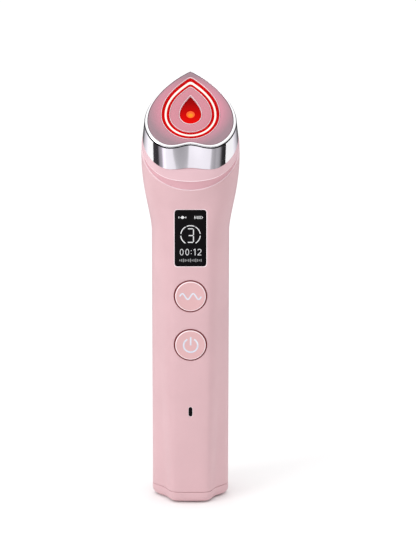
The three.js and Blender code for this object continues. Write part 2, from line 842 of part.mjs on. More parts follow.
add(wand, "front_shell", frontShell, PINK);
add(wand, "rear_shell", rearShell, PINK);
add(wand, "base_cap", baseCap, PINK);
add(wand, "base_foot", baseFoot, SEAL_PINK);
add(wand, "display_window", displayWindow, BLACK_GLASS);
add(wand, "display_module", displayModule, BLACK);
add(wand, "indicator_lens", indicatorLens, BLACK);
add(wand, "indicator_led", indicatorLed, WHITE_PLASTIC);
for (const [name, z] of [["mode", MODE_KEY_Z], ["power", POWER_KEY_Z]]) {
  add(wand, `${name}_button_cap`, keyCap(z), KEY_PINK);
  add(wand, `${name}_switch_plunger`, plunger(z), BLACK);
  add(wand, `${name}_switch_body`, tactSwitch(z), BLACK);
}
add(wand, "main_board", mainBoard, BOARD_GREEN);
add(wand, "processor_chip", processor, BLACK);
add(wand, "boost_transformer", transformer, FLEX_AMBER);
add(wand, "battery_plug", batteryPlug, WHITE_PLASTIC);
add(wand, "head_plug", headPlug, WHITE_PLASTIC);
BOARD_SCREW_Z.forEach((z, i) => add(wand, `board_screw_${i + 1}`, boardScrew(z), STEEL));
add(wand, "charge_board", chargeBoard, BOARD_GREEN);
add(wand, "usb_socket", usbSocket, STEEL);
add(wand, "usb_tongue", usbTongue, BLACK);
add(wand, "battery_cradle", cradle, WHITE_PLASTIC);
add(wand, "battery_cell", batteryCell, CELL_WRAP);
add(wand, "battery_tab_top", cellTab(CELL.high + 0.1, -3), BRASS);
add(wand, "battery_tab_bottom", cellTab(CELL.low - 0.4, -6.2), BRASS);
add(wand, "battery_lead_red", batteryLeads.red, RED_WIRE);
add(wand, "battery_lead_black", batteryLeads.black, BLACK);
add(wand, "charge_lead_red", chargeLead(2.6), RED_WIRE);
add(wand, "charge_lead_black", chargeLead(5), BLACK);
add(wand, "motor_can", motorCan, STEEL);
add(wand, "motor_sleeve", motorSleeve, BLACK);
add(wand, "motor_shaft", motorShaft, STEEL);
add(wand, "motor_weight", motorWeight, BRASS);
add(wand, "head_flex_lead", headFlex, FLEX_AMBER);

add(head, "neck_collar", neckCollar, PALE_PINK);
add(head, "neck_seal", neckSeal, SEAL_PINK);
add(head, "electrode_band", electrodeBand, CHROME);
add(head, "outer_face_plate", outerPlate, PLATE_PINK);
add(head, "light_ring", lightRing, RED_LENS);
add(head, "light_ring_core", lightCore, WHITE_LIGHT);
add(head, "inner_face_plate", innerPlate, PLATE_PINK);
add(head, "centre_window", centreWindow, RED_LENS);
add(head, "centre_led", centreLed, AMBER);
add(head, "head_frame", headFrame, WHITE_PLASTIC);
add(head, "led_board", ledBoard, BOARD_GREEN);
for (let number = 0; number < LAMPS; number++) {
  add(head, `ring_led_${number + 1}`, ringLamp(number), WHITE_PLASTIC);
}
for (const [name, side] of [["left", -1], ["right", 1]]) {
  add(wand, `cap_screw_${name}`, capScrew(side), STEEL);
  add(head, `head_screw_${name}`, headScrew(side), STEEL);
  add(head, `band_contact_${name}`, bandContact(side), BRASS);
}

export default wand;
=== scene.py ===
"""The looks of the heart-headed facial wand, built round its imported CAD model."""

import math

import bmesh
import bpy
from mathutils import Matrix, Vector
from mathutils.bvhtree import BVHTree


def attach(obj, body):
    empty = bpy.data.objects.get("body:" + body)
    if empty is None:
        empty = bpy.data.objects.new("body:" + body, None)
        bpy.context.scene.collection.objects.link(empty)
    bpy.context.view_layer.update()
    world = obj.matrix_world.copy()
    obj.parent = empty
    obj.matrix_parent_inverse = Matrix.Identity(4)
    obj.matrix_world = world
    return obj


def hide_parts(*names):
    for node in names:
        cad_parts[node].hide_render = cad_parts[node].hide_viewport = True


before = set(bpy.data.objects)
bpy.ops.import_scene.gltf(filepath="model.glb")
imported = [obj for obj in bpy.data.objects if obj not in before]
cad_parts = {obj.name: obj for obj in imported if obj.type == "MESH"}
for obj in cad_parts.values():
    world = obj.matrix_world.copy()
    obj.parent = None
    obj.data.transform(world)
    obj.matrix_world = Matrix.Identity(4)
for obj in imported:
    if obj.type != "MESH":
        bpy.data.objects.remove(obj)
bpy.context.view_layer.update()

MM = 0.001

# ------------------------------------------------------------ the wand's measurements, mm

WALL = 1.8
GAP = 0.12
HANDLE_HALF_WIDTH = 16.5
HANDLE_HALF_DEPTH = 14.5
NECK_HALF_WIDTH = 20.8
HEAD_HALF_WIDTH = 19.3
BEND_START = 118
SWELL_START = 131.5
SEAM = 140.4
SHELL_TOP = 139.3
COLLAR_LOW = 143.4
COLLAR_TOP = 148.6
FACE = 159
TILT = math.radians(43)
FACE_FRONT_Y = -21.5
FACE_BACK_Y = 7.4
BASE_LOW = 0.5
BASE_TOP = 5
BAND_WALL = 1.35
DISPLAY_Z = 118.4
MODE_Z = 93.1
POWER_Z = 71.6
PILL_Z = 41.7
LED_Q = 17.5
DROP_CENTRE = 16.8

QUARTER = 22  # points on each quarter of a full section


# ------------------------------------------------------------ small mathematics


def clamp(v, low=0.0, high=1.0):
    return max(low, min(high, v))


def share(v, a, b):
    """How far v has come from a to b, between 0 and 1."""
    return clamp((v - a) / (b - a))


def ease(v, a, b):
    t = share(v, a, b)
    return t * t * (3 - 2 * t)


def mix(a, b, t):
    return a + (b - a) * t


def span(a, b, count):
    return [a + (b - a) * i / (count - 1) for i in range(count)]


def radians(*angles):
    return [math.radians(a) for a in angles]


def rounded(radius, *angles):
    """Rows round an edge: how far its side and its top are left behind. At 0 degrees the
    row lies on the side and at 90 on the top."""
    return [(radius * (1 - math.cos(a)), radius * (1 - math.sin(a))) for a in radians(*angles)]


def bezier(p0, p1, p2, p3, count=40):
    out = []
    for i in range(count + 1):
        t = i / count
        w = ((1 - t) ** 3, 3 * t * (1 - t) ** 2, 3 * t * t * (1 - t), t**3)
        out.append(sum((Vector(p) * k for p, k in zip((p0, p1, p2, p3), w)), Vector((0, 0))))
    return out


def lengths(points):
    total = [0.0]
    for a, b in zip(points, points[1:]):
        total.append(total[-1] + (b - a).length)
    return total


def at_lengths(points, places):
    """Points on a polyline at these distances along it."""
    total = lengths(points)
    out, k = [], 0
    for s in places:
        s = clamp(s, 0, total[-1])
        while k < len(total) - 2 and total[k + 1] < s:
            k += 1
        step = total[k + 1] - total[k]
        out.append(points[k].lerp(points[k + 1], (s - total[k]) / step if step else 0))
    return out


def evenly(points, count):
    return at_lengths(points, span(0, lengths(points)[-1], count + 1))


# ------------------------------------------------------------ the outer sweep


def quarter(start, *pieces):
    """A unit quarter outline through cubic pieces of (control, control, end)."""
    line, at = [], start
    for c1, c2, end in pieces:
        line += bezier(at, c1, c2, end)[1 if line else 0 :]
        at = end
    return evenly(line, QUARTER)


LOBED_FRONT = quarter(
    (0, 0),
    ((0.2, 0), (0.33, 0), (0.44, 0.035)),
    ((0.54, 0.07), (0.59, 0.275), (0.66, 0.43)),
    ((0.73, 0.585), (1, 0.72), (1, 1)),
)
ROUND_FRONT = quarter(
    (0, 0),
    ((0.15, 0), (0.3, 0.008), (0.44, 0.035)),
    ((0.67, 0.08), (1, 0.46), (1, 1)),
)
OVAL_FRONT = quarter((0, 0), ((0.55, 0), (1, 0.45), (1, 1)))
WHOLE_FRONT = quarter(
    (0, 0),
    ((0.16, 0), (0.26, 0), (0.45, 0)),
    ((0.72, 0), (1, 0.45), (1, 1)),
)
HEART_FRONT = quarter(
    (0, 0.125),
    ((0.16, 0.115), (0.26, 0), (0.45, 0)),
    ((0.72, 0), (1, 0.45), (1, 1)),
)
HEART_BACK = quarter(
    (1, 0),
    ((1, 0.4), (0.45, 0.8), (0.08, 0.965)),
    ((0.045, 0.985), (0.02, 1), (0, 1)),
)


def mirrored(points):
    return [Vector((p.x, 1 - p.y)) for p in reversed(points)]


LOBED_BACK = mirrored(LOBED_FRONT)
ROUND_BACK = mirrored(ROUND_FRONT)
OVAL_BACK = mirrored(OVAL_FRONT)


def morph(first, *others):
    points = first
    for target, amount in others:
        points = [a.lerp(b, amount) for a, b in zip(points, target)]
    return points


def section(height):
    reach = share(height, SWELL_START, FACE) ** 1.1
    front = mix(-HANDLE_HALF_DEPTH, FACE_FRONT_Y, reach)
    head = share(height, SEAM, FACE)
    back = mix(HANDLE_HALF_DEPTH, FACE_BACK_Y, head**1.6)
    tilt = TILT * ease(height, BEND_START, SEAM)
    swell = ease(height, BEND_START + 0.5, SEAM - 3.2)
    neck = mix(HANDLE_HALF_WIDTH, NECK_HALF_WIDTH, swell)
    return {
        "tilt": tilt,
        "front": front,
        "height": height,
        "length": (back - front) / math.cos(tilt),
        "half_width": mix(neck, HEAD_HALF_WIDTH, ease(height, SEAM - 1, FACE)),
        "widest": mix(0.5 + 0.02 * ease(height, 125, SEAM), 0.34, head**0.45),
        "roundness": mix(0.6 * ease(height, 5, 70), 1, ease(height, 80, 128)),
        "ovalness": ease(height, 128, SEAM),
        "heartness": head**0.75,
        "cleft": mix(0.5, 1, share(height, COLLAR_TOP, FACE)) if height > COLLAR_TOP else 0,
    }


def flat_outline(s, inset):
    """A section's outline as (across, up its plane), pulled in by inset. On the heart the
    pull fades towards the point."""
    front = morph(
        LOBED_FRONT,
        (ROUND_FRONT, s["roundness"]),
        (OVAL_FRONT, s["ovalness"]),
        (WHOLE_FRONT, s["heartness"]),
        (HEART_FRONT, s["cleft"]),
    )
    back = morph(
        LOBED_BACK,
        (ROUND_BACK, s["roundness"]),
        (OVAL_BACK, s["ovalness"]),
        (HEART_BACK, s["heartness"]),
    )
    reach = s["length"] * s["widest"]
    beyond = s["length"] - reach - inset * (1 - 0.7 * s["heartness"])
    half = s["half_width"]
    fade = 0.6 * s["heartness"]
    side = [(p.x * (half - inset), p.y * (reach - inset) + inset) for p in front]
    side += [(p.x * (half - inset * (1 - fade * p.y)), reach + p.y * beyond) for p in back[1:]]
    return side + [(-x, q) for x, q in reversed(side[1:-1])]


def outline(height, inset=0.0, along=0.0):
    """The closed section whose front point is at this height, pulled in by inset and
    moved along its own normal. It starts at the middle of the front and goes round by +X."""
    s = section(height)
    cos, sin = math.cos(s["tilt"]), math.sin(s["tilt"])
    return [
        Vector((x, s["front"] + q * cos - along * sin, height + q * sin + along * cos))
        for x, q in flat_outline(s, inset)
    ]


# The head's frame: x across the face, y up it from the lobes to the tip, z out of it.
HEAD = Matrix.Translation(Vector((0, FACE_FRONT_Y, FACE))) @ Matrix.Rotation(TILT, 4, "X")


# ------------------------------------------------------------ meshes

SHARP = 35.0  # degrees between faces that make an edge sharp


def smooth(mesh, sharp=SHARP):
    """Smooth shading but for edges sharper than the angle in degrees."""
    mesh.polygons.foreach_set("use_smooth", [True] * len(mesh.polygons))
    mesh.set_sharp_from_angle(angle=math.radians(sharp))


def in_scene(name, data):
    obj = bpy.data.objects.new(name, data)
    bpy.context.scene.collection.objects.link(obj)
    return obj


def mesh_object(name, verts, faces, material=None, sharp=SHARP):
    """A smooth object from points in millimetres."""
    mesh = bpy.data.meshes.new(name)
    mesh.from_pydata([Vector(v) * MM for v in verts], [], faces)
    mesh.validate()
    bm = bmesh.new()
    bm.from_mesh(mesh)
    bmesh.ops.remove_doubles(bm, verts=bm.verts, dist=1e-8)
    bmesh.ops.recalc_face_normals(bm, faces=bm.faces)
    bm.to_mesh(mesh)
    bm.free()
    smooth(mesh, sharp)
    if material is not None:
        mesh.materials.append(material)
    return in_scene(name, mesh)


def loft(rings, caps="fan"):
    """Points and faces through closed rings with equal counts. caps says what closes the
    ends: a fan on each, nothing (none), or the last ring joined to the first (loop)."""
    count = len(rings[0])
    verts = [p for ring in rings for p in ring]
    faces = []
    wraps = len(rings) if caps == "loop" else len(rings) - 1
    for i in range(wraps):
        low, high = i * count, (i + 1) % len(rings) * count
        for j in range(count):
            k = (j + 1) % count
            faces.append((low + j, low + k, high + k, high + j))
    if caps == "fan":
        for start, flip in ((0, True), ((len(rings) - 1) * count, False)):
            middle = sum((Vector(verts[start + j]) for j in range(count)), Vector()) / count
            verts.append(middle)
            for j in range(count):
                a, b = start + j, start + (j + 1) % count
                faces.append((b, a, len(verts) - 1) if flip else (a, b, len(verts) - 1))
    return verts, faces


def boolean(obj, cutter, operation="DIFFERENCE"):
    """Cuts or joins the other object for good, and takes it out of the scene."""
    modifier = obj.modifiers.new("cut", "BOOLEAN")
    modifier.operation = operation
    modifier.solver = "EXACT"
    modifier.object = cutter
    graph = bpy.context.evaluated_depsgraph_get()
    made = bpy.data.meshes.new_from_object(obj.evaluated_get(graph))
    obj.modifiers.clear()
    old = obj.data
    obj.data = made
    bpy.data.meshes.remove(old)
    bpy.data.objects.remove(cutter)


def place(obj, body, stands_for=()):
    """Puts the piece on its body, in the stead of the CAD nodes that it stands for."""
    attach(obj, body)
    if stands_for:
        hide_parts(*stands_for)
    return obj


# ------------------------------------------------------------ finishes

RAMP_ENDS = ("From Min", "From Max", "To Min", "To Max")


class Finish:
    """A Principled material with small procedural variation."""

    def __init__(self, name):
        self.material = bpy.data.materials.new(name)
        self.material.use_nodes = True
        self.tree = self.material.node_tree
        self.shader = self.tree.nodes["Principled BSDF"]

    def node(self, kind, **values):
        made = self.tree.nodes.new(kind)
        for key, value in values.items():
            setattr(made, key, value)
        return made

    def link(self, a, b):
        self.tree.links.new(a, b)

    def set(self, **values):
        for key, value in values.items():
            self.shader.inputs[key.replace("_", " ")].default_value = value
        return self

    def noise(self, scale, detail=4.0, rough=0.55, stretch=(1, 1, 1)):
        where = self.node("ShaderNodeTexCoord")
        turn = self.node("ShaderNodeMapping")
        turn.inputs["Scale"].default_value = stretch
        made = self.node("ShaderNodeTexNoise")
        made.inputs["Scale"].default_value = scale
        made.inputs["Detail"].default_value = detail
        made.inputs["Roughness"].default_value = rough
        self.link(where.outputs["Object"], turn.inputs["Vector"])
        self.link(turn.outputs["Vector"], made.inputs["Vector"])
        return made.outputs["Fac"]

    def position(self):
        """The place on the piece, split into its axes."""
        where = self.node("ShaderNodeTexCoord")
        apart = self.node("ShaderNodeSeparateXYZ")
        self.link(where.outputs["Object"], apart.inputs[0])
        return apart.outputs

    def ramp(self, source, low, high, start=0.35, end=0.65):
        made = self.node("ShaderNodeMapRange")
        for key, value in zip(RAMP_ENDS, (start, end, low, high)):
            made.inputs[key].default_value = value
        self.link(source, made.inputs["Value"])
        return made.outputs["Result"]

    def mottle(self, scale, detail=4.0):
        """Soft patches from 0 to 1."""
        return self.ramp(self.noise(scale, detail), 0, 1)

    def uneven(self, source, pattern, amount):
        """The source with a little of the pattern added, kept from 0 to 1."""
        made = self.node("ShaderNodeMath", operation="MULTIPLY_ADD", use_clamp=True)
        made.inputs[1].default_value = amount
        self.link(pattern, made.inputs[0])
        self.link(source, made.inputs[2])
        return made.outputs[0]

    def blend(self, source, first, second):
        made = self.node("ShaderNodeMix", data_type="RGBA")
        made.inputs["A"].default_value = (*first, 1)
        made.inputs["B"].default_value = (*second, 1)
        self.link(source, made.inputs["Factor"])
        return made.outputs["Result"]

    def colours(self, source, first, second):
        self.link(self.blend(source, first, second), self.shader.inputs["Base Color"])
        return self

    def roughness(self, source, low, high):
        self.link(self.ramp(source, low, high), self.shader.inputs["Roughness"])
        return self

    def bump(self, source, strength, distance):
        made = self.node("ShaderNodeBump")
        made.inputs["Strength"].default_value = strength
        made.inputs["Distance"].default_value = distance
        self.link(source, made.inputs["Height"])
        self.link(made.outputs["Normal"], self.shader.inputs["Normal"])
        return self


def srgb(*levels):
    """A display colour of three levels up to 255, as scene-linear light."""
    shares = [level / 255 for level in levels]
    return tuple(c / 12.92 if c <= 0.04045 else ((c + 0.055) / 1.055) ** 2.4 for c in shares)


def scaled(colour, factor):
    return tuple(min(c * factor, 1) for c in colour)


def plastic(name, colour, low, high, grain=1400, depth=0.00001, coat=0.0, mottle=0.025):
    """Moulded plastic: faint mottling, uneven sheen and a fine spark-eroded grain."""
    f = Finish(name)
    f.colours(f.mottle(55, 5), scaled(colour, 1 - mottle), scaled(colour, 1 + mottle))
    f.roughness(f.noise(180, 6), low, high)
    f.bump(f.noise(grain, 3), 0.25, depth)
    f.set(Coat_Weight=coat, Coat_Roughness=0.12)
    return f.material


PINK = plastic("body_pink", srgb(212, 174, 179), 0.40, 0.50, depth=0.000012)
COLLAR = plastic("collar_pink", srgb(222, 184, 191), 0.36, 0.46)
SEAL = plastic("seal_pink", srgb(213, 164, 173), 0.55, 0.66, grain=900)
FOOT = plastic("foot_pink", srgb(214, 168, 176), 0.6, 0.72, grain=700, depth=0.00003)
# The key skirt's dark maroon is painted shade for the narrow gap round each key.
KEY_SKIRT_SHADE = plastic("key_skirt_painted_shade", srgb(118, 30, 34), 0.6, 0.7)
KEY = plastic("key_pink", srgb(216, 172, 174), 0.36, 0.46)
BLACK_PLASTIC = plastic("black_plastic", (0.02, 0.02, 0.022), 0.4, 0.6, mottle=0.2)
WHITE_PLASTIC = plastic("white_plastic", (0.75, 0.74, 0.7), 0.4, 0.55)


def chrome():
    """Mirror plating with faint waves."""
    f = Finish("plated_band")
    f.colours(f.mottle(40), (0.80, 0.79, 0.81), (0.86, 0.85, 0.87))
    f.roughness(f.noise(260, 6), 0.05, 0.09)
    f.bump(f.noise(90, 2), 0.03, 0.00001)
    f.set(Metallic=1.0)
    return f.material


CHROME = chrome()


GLOW_FROM = 11.5  # mm from the middle of the drop, where the near colour starts to fade
GLOW_TO = 18.5  # and where only the far colour is left


def face_plate(name, near, far):
    """A glossy plate with the light ring's glow painted into its colour: near and far are its
    painted colours close to the middle of the drop and away from it."""
    f = Finish(name)
    spot = f.position()
    # The distance from the middle of the drop, measured in the face's own plane.
    up = f.node("ShaderNodeMath", operation="MULTIPLY_ADD")
    up.inputs[1].default_value = 1 / math.sin(TILT)
    up.inputs[2].default_value = -(FACE / math.sin(TILT) + LED_Q + 1.5) * MM
    f.link(spot["Z"], up.inputs[0])
    plane = f.node("ShaderNodeCombineXYZ")
    f.link(spot["X"], plane.inputs["X"])
    f.link(up.outputs[0], plane.inputs["Y"])
    distance = f.node("ShaderNodeVectorMath", operation="LENGTH")
    f.link(plane.outputs[0], distance.inputs[0])
    fall = f.ramp(distance.outputs["Value"], 0, 1, GLOW_FROM * MM, GLOW_TO * MM)
    f.colours(f.uneven(fall, f.noise(70), 0.12), near, far)
    f.roughness(f.noise(200), 0.12, 0.2)
    f.bump(f.noise(500), 0.05, 0.00001)
    f.set(Coat_Weight=0.25, Coat_Roughness=0.05)
    return f.material


# The outer plate: a painted red glow near the ring, fading to painted grey shade at its edges. The
# inner plate: both colours paint the ring's red glow.
OUTER_PLATE = face_plate("outer_plate", srgb(210, 128, 148), srgb(146, 116, 126))
INNER_PLATE = face_plate("inner_plate", srgb(194, 122, 136), srgb(214, 112, 126))


def lit(name, base, glow, low, high, rough=0.25, shine=0.1):
    """A diffuser lit from behind, a little uneven along its length."""
    f = Finish(name)
    f.colours(f.mottle(300), base, scaled(base, 0.85))
    f.link(f.ramp(f.noise(150, 3), low, high), f.shader.inputs["Emission Strength"])
    f.link(f.blend(f.mottle(120), glow, scaled(glow, 0.82)), f.shader.inputs["Emission Color"])
    f.set(Roughness=rough, Specular_IOR_Level=shine)
    return f.material


RING_RED = lit("ring_red", (0.3, 0.001, 0.002), (0.8, 0.002, 0.003), 0.35, 0.5, 0.4, 0.02)
RING_WHITE = lit("ring_white", (0.6, 0.55, 0.5), (1.0, 0.82, 0.74), 0.55, 0.75)
# Pale finishes for painted highlights on rounded edges and round the plates.
LIP_HIGHLIGHT = plastic("lip_painted_highlight", srgb(232, 208, 214), 0.15, 0.25)
EDGE_HIGHLIGHT = plastic("edge_painted_highlight", srgb(252, 234, 238), 0.2, 0.3)


def window_red():
    """The drop-shaped window: its glow and colour are painted, deep red at its tip and brighter
    round the lamp.
    """
    f = Finish("window_red")
    low, high = (HEAD @ Vector((0, q, 0)) * MM for q in (12.5, 25.5))
    up = f.uneven(f.ramp(f.position()["Z"], 0, 1, low.z, high.z), f.noise(260), 0.1)
    f.link(f.blend(up, srgb(240, 8, 4), srgb(140, 2, 4)), f.shader.inputs["Emission Color"])
    f.colours(up, (0.3, 0.001, 0.001), (0.08, 0.001, 0.001))
    f.set(Emission_Strength=0.6, Roughness=0.4, Specular_IOR_Level=0.02)
    return f.material


WINDOW_RED = window_red()
LAMP_AMBER = lit("lamp_amber", (0.3, 0.07, 0.005), srgb(255, 142, 20), 0.8, 1.0, 0.2)
LAMP_RIM = lit("lamp_rim", (0.3, 0.03, 0.01), srgb(255, 110, 40), 0.8, 0.95, 0.25)
LAMP_SEAT = plastic("lamp_seat", srgb(150, 22, 6), 0.4, 0.5)


def glass_black(name):
    """Dark glass over an unlit ground."""
    f = Finish(name)
    f.colours(f.mottle(40), (0.003, 0.003, 0.004), (0.006, 0.0055, 0.006))
    f.roughness(f.noise(220), 0.12, 0.18)
    f.bump(f.noise(60), 0.02, 0.00001)
    f.set(Specular_IOR_Level=0.03)
    return f.material


GLASS = glass_black("display_glass")
PILL = glass_black("indicator_black")
# A dull black line of painted shade round the face's rim: the same finish as the glyphs, with no
# glow.
SHADOW_LINE_BLACK = lit("shadow_line_black", (0.003, 0.003, 0.003), (0, 0, 0), 0, 0, 0.8, 0.0)
GLYPH = lit("glyph_white", (0.4, 0.4, 0.4), (0.95, 0.95, 0.97), 0.45, 0.6, 0.5)
GLYPH_DIM = lit("glyph_dim", (0.15, 0.15, 0.15), (0.6, 0.6, 0.62), 0.25, 0.35, 0.5)


def ink():
    f = Finish("key_ink")
    f.colours(f.mottle(300), srgb(206, 212, 226), srgb(220, 224, 234))
    f.roughness(f.noise(500), 0.22, 0.32)
    return f.material


INK = ink()


def metal(name, colour, low, high, stretch=(1, 1, 1)):
    """Bare metal with an uneven polish. A stretch draws its grain out into brush lines."""
    f = Finish(name)
    f.colours(f.mottle(120), scaled(colour, 0.9), colour)
    f.roughness(f.noise(400, 6, stretch=stretch), low, high)
    f.bump(f.noise(600, 2, stretch=stretch), 0.1, 0.00001)
    f.set(Metallic=1.0)
    return f.material


STEEL = metal("steel", (0.62, 0.62, 0.63), 0.2, 0.38, (1, 1, 12))
BRASS = metal("brass", (0.75, 0.55, 0.24), 0.22, 0.36)
BOARD = plastic("solder_mask", (0.025, 0.15, 0.06), 0.25, 0.4, mottle=0.2, coat=0.3)
FILM = plastic("amber_film", (0.5, 0.2, 0.03), 0.2, 0.35, mottle=0.1)
WRAP = plastic("cell_wrap", (0.04, 0.14, 0.42), 0.25, 0.38, mottle=0.08)
RED_WIRE = plastic("red_wire", (0.5, 0.02, 0.02), 0.4, 0.5, mottle=0.06)
RUBBER = plastic("sleeve_rubber", (0.02, 0.02, 0.02), 0.6, 0.75, grain=800, mottle=0.2)

# ------------------------------------------------------------ handle shells

EDGE = 0.28  # rounding of the shells' edges
RIM = 0.45  # rounding of the rim beside the neck
ARC = (90, 67.5, 45, 22.5, 0)  # degrees, the steps of a rounded edge from top to side
LINE_COUNT = 64  # points on each half line of a shell
SQUARE = 1e-4  # rounding of the shells' inner corners, as good as none


def half_line(ring, side, half_gap):
    """The part of a closed ring in front of (side -1) or behind (+1) the parting plane,
    from its left end to its right end."""
    count = len(ring)
    start = 0 if side < 0 else count // 2
    turn = 1 if side < 0 else -1
    right = []
    for step in range(count // 2 + 1):
        p = ring[(start + turn * step) % count]
        if side * p.y <= half_gap:
            before = right[-1]
            t = (side * half_gap - before.y) / (p.y - before.y)
            right.append(before.lerp(p, t))
            break
        right.append(p)
    left = [Vector((-p.x, p.y, p.z)) for p in reversed(right[1:])]
    return left + right


def rounded_ends(line, count, radius):
    """The line with count points, its two ends turned inwards over the radius."""
    total = lengths(line)[-1]
    ends = [end for _, end in rounded(radius, *ARC)]
    places = ends + span(radius, total - radius, count)[1:-1] + [total - s for s in reversed(ends)]
    points = at_lengths(line, places)
    middle = (line[0] + line[-1]) / 2
    normal = (line[0] - middle).cross(line[len(line) // 2] - middle).normalized()
    out = []
    for i, (p, s) in enumerate(zip(points, places)):
        near = min(s, total - s)
        if near < radius:
            a, b = points[max(i - 1, 0)], points[min(i + 1, len(points) - 1)]
            inward = normal.cross(b - a).normalized()
            if inward.dot(middle - p) < 0:
                inward.negate()
            p = p + inward * (radius - math.sqrt(radius**2 - (radius - near) ** 2))
        out.append(p)
    return out


def shell(name, side, material):
    """One half of the handle: side -1 is the front, +1 the rear. Its lower edge and its
    rim beside the neck are rounded."""
    rows = [(BASE_TOP + GAP, inset, along) for along, inset in rounded(EDGE, *ARC[::-1])]
    rows += [(h, 0, 0) for h in span(BASE_TOP + GAP + EDGE, BEND_START, 60)[1:]]
    rows += [(h, 0, 0) for h in span(BEND_START, SHELL_TOP - 0.6, 46)[1:]]
    rows += [(SHELL_TOP - drop, inset, 0) for drop, inset in rounded(RIM, *ARC)]
    rings = []
    for h, inset, along in rows:
        outer, inner = (
            rounded_ends(half_line(outline(h, pull, along), side, GAP / 2), LINE_COUNT, edge)
            for pull, edge in ((inset, EDGE), (WALL, SQUARE))
        )
        rings.append(outer + inner[::-1])
    verts, faces = loft(rings, caps="none")
    count = len(rings[0])
    half = count // 2
    for start in (0, (len(rings) - 1) * count):
        end = start + count
        faces += [(start + j, start + j + 1, end - 2 - j, end - 1 - j) for j in range(half - 1)]
    return mesh_object(name, verts, faces, material)


front = shell("front_shell_skin", -1, PINK)
rear = shell("rear_shell_skin", 1, PINK)

# The handle's outer surface, to fit the openings' edges to it.
SKIN = BVHTree.FromPolygons(*loft([outline(h) for h in span(8, SHELL_TOP, 120)], caps="none"))


def front_y(x, z):
    """Where a ray from well in front of the wand meets the handle."""
    hit, _, _, _ = SKIN.ray_cast(Vector((x, -60, z)), Vector((0, 1, 0)))
    return hit.y


def slot_line(half_width, half_height, corner, steps=8):
    """A rounded rectangle in x and z."""
    out = []
    for cx, cz, start in ((1, 1, 0), (-1, 1, 90), (-1, -1, 180), (1, -1, 270)):
        for a in span(start, start + 90, steps + 1):
            r = math.radians(a)
            out.append((
                cx * (half_width - corner) + corner * math.cos(r),
                cz * (half_height - corner) + corner * math.sin(r),
            ))
    return out


def circle_line(radius, count=96):
    turns = [2 * math.pi * i / count for i in range(count)]
    return [(radius * math.cos(a), radius * math.sin(a)) for a in turns]


def slots(half_width, half_height, corner, steps=8):
    """A rounded rectangle by how far it is grown on every side."""
    return lambda g: slot_line(half_width + g, half_height + g, corner + g, steps)


def key_hole(grow):
    return circle_line(7.05 + grow)


def on_front(line, z, rows):
    """Rings round the height z that follow the front surface. rows are (grow, depth), and
    line(grow) gives an outline."""
    return [
        [Vector((x, front_y(x, z + dz) + depth, z + dz)) for x, dz in line(grow)]
        for grow, depth in rows
    ]


def mouth(fillet, *angles):
    """Rows of (grow, depth) down the rounded mouth of an opening."""
    return [(grow, depth) for depth, grow in rounded(fillet, *angles)]


def cut_opening(line, z, fillet):
    """Cuts an opening with a rounded mouth through the front shell."""
    rows = [(fillet, -1.5), (fillet, -0.02)] + mouth(fillet, 15, 30, 45, 60, 75, 90) + [(0, 6)]
    boolean(front, mesh_object("cutter", *loft(on_front(line, z, rows))))


def opening_highlight_line(name, line, z, fillet):
    """A pale line of painted highlight on the rounded mouth of an opening, just proud of it."""
    rows = [(fillet + 0.02, 0.2), (fillet + 0.02, -0.012)]
    rows += [(grow - 0.01, depth - 0.012) for grow, depth in mouth(fillet, 15, 40, 65)]
    rows.append((0.1, fillet + 0.2))
    mouth_highlight = mesh_object(name, *loft(on_front(line, z, rows), caps="loop"), EDGE_HIGHLIGHT)
    place(mouth_highlight, "handle", [])


DISPLAY_OPENING = slots(6.7, 12.3, 1.2)
DISPLAY_FILLET = 0.3
PILL_OPENING = slots(0.85, 2.15, 0.84)
PILL_FILLET = 0.12
cut_opening(key_hole, MODE_Z, 0.22)
cut_opening(key_hole, POWER_Z, 0.22)
cut_opening(DISPLAY_OPENING, DISPLAY_Z, DISPLAY_FILLET)
cut_opening(PILL_OPENING, PILL_Z, PILL_FILLET)
smooth(front.data, 40)
opening_highlight_line("display_mouth_highlight", DISPLAY_OPENING, DISPLAY_Z, DISPLAY_FILLET)
opening_highlight_line("indicator_mouth_highlight", PILL_OPENING, PILL_Z, PILL_FILLET)
place(front, "handle", ["front_shell"])
place(rear, "handle", ["rear_shell"])

# ------------------------------------------------------------ base cap and foot


def flat_ring(z, inset):
    return [Vector((p.x, p.y, z)) for p in outline(0, inset)]


def prism(line, x, y, low, high):
    rings = [[Vector((x + dx, y + dy, z)) for dx, dy in line] for z in (low, high)]
    return mesh_object("cutter", *loft(rings))


PORT = slots(4.47, 1.63, 1.6, 10)  # the charging port's opening
PORT_Y = 6.2
SCREW_X, SCREW_Y = 9, -2.5
SCREW_BOSS = circle_line(2.9, 48)
SCREW_BORE = circle_line(1.15, 48)
SCREW_HEAD = circle_line(2.1, 48)
FOOT_INSET = 2.9
CAP_FLOOR = 2.4
TONGUE_INSET = 2
TONGUE_RISE = 4.5
HOLLOW_INSET = 3.4
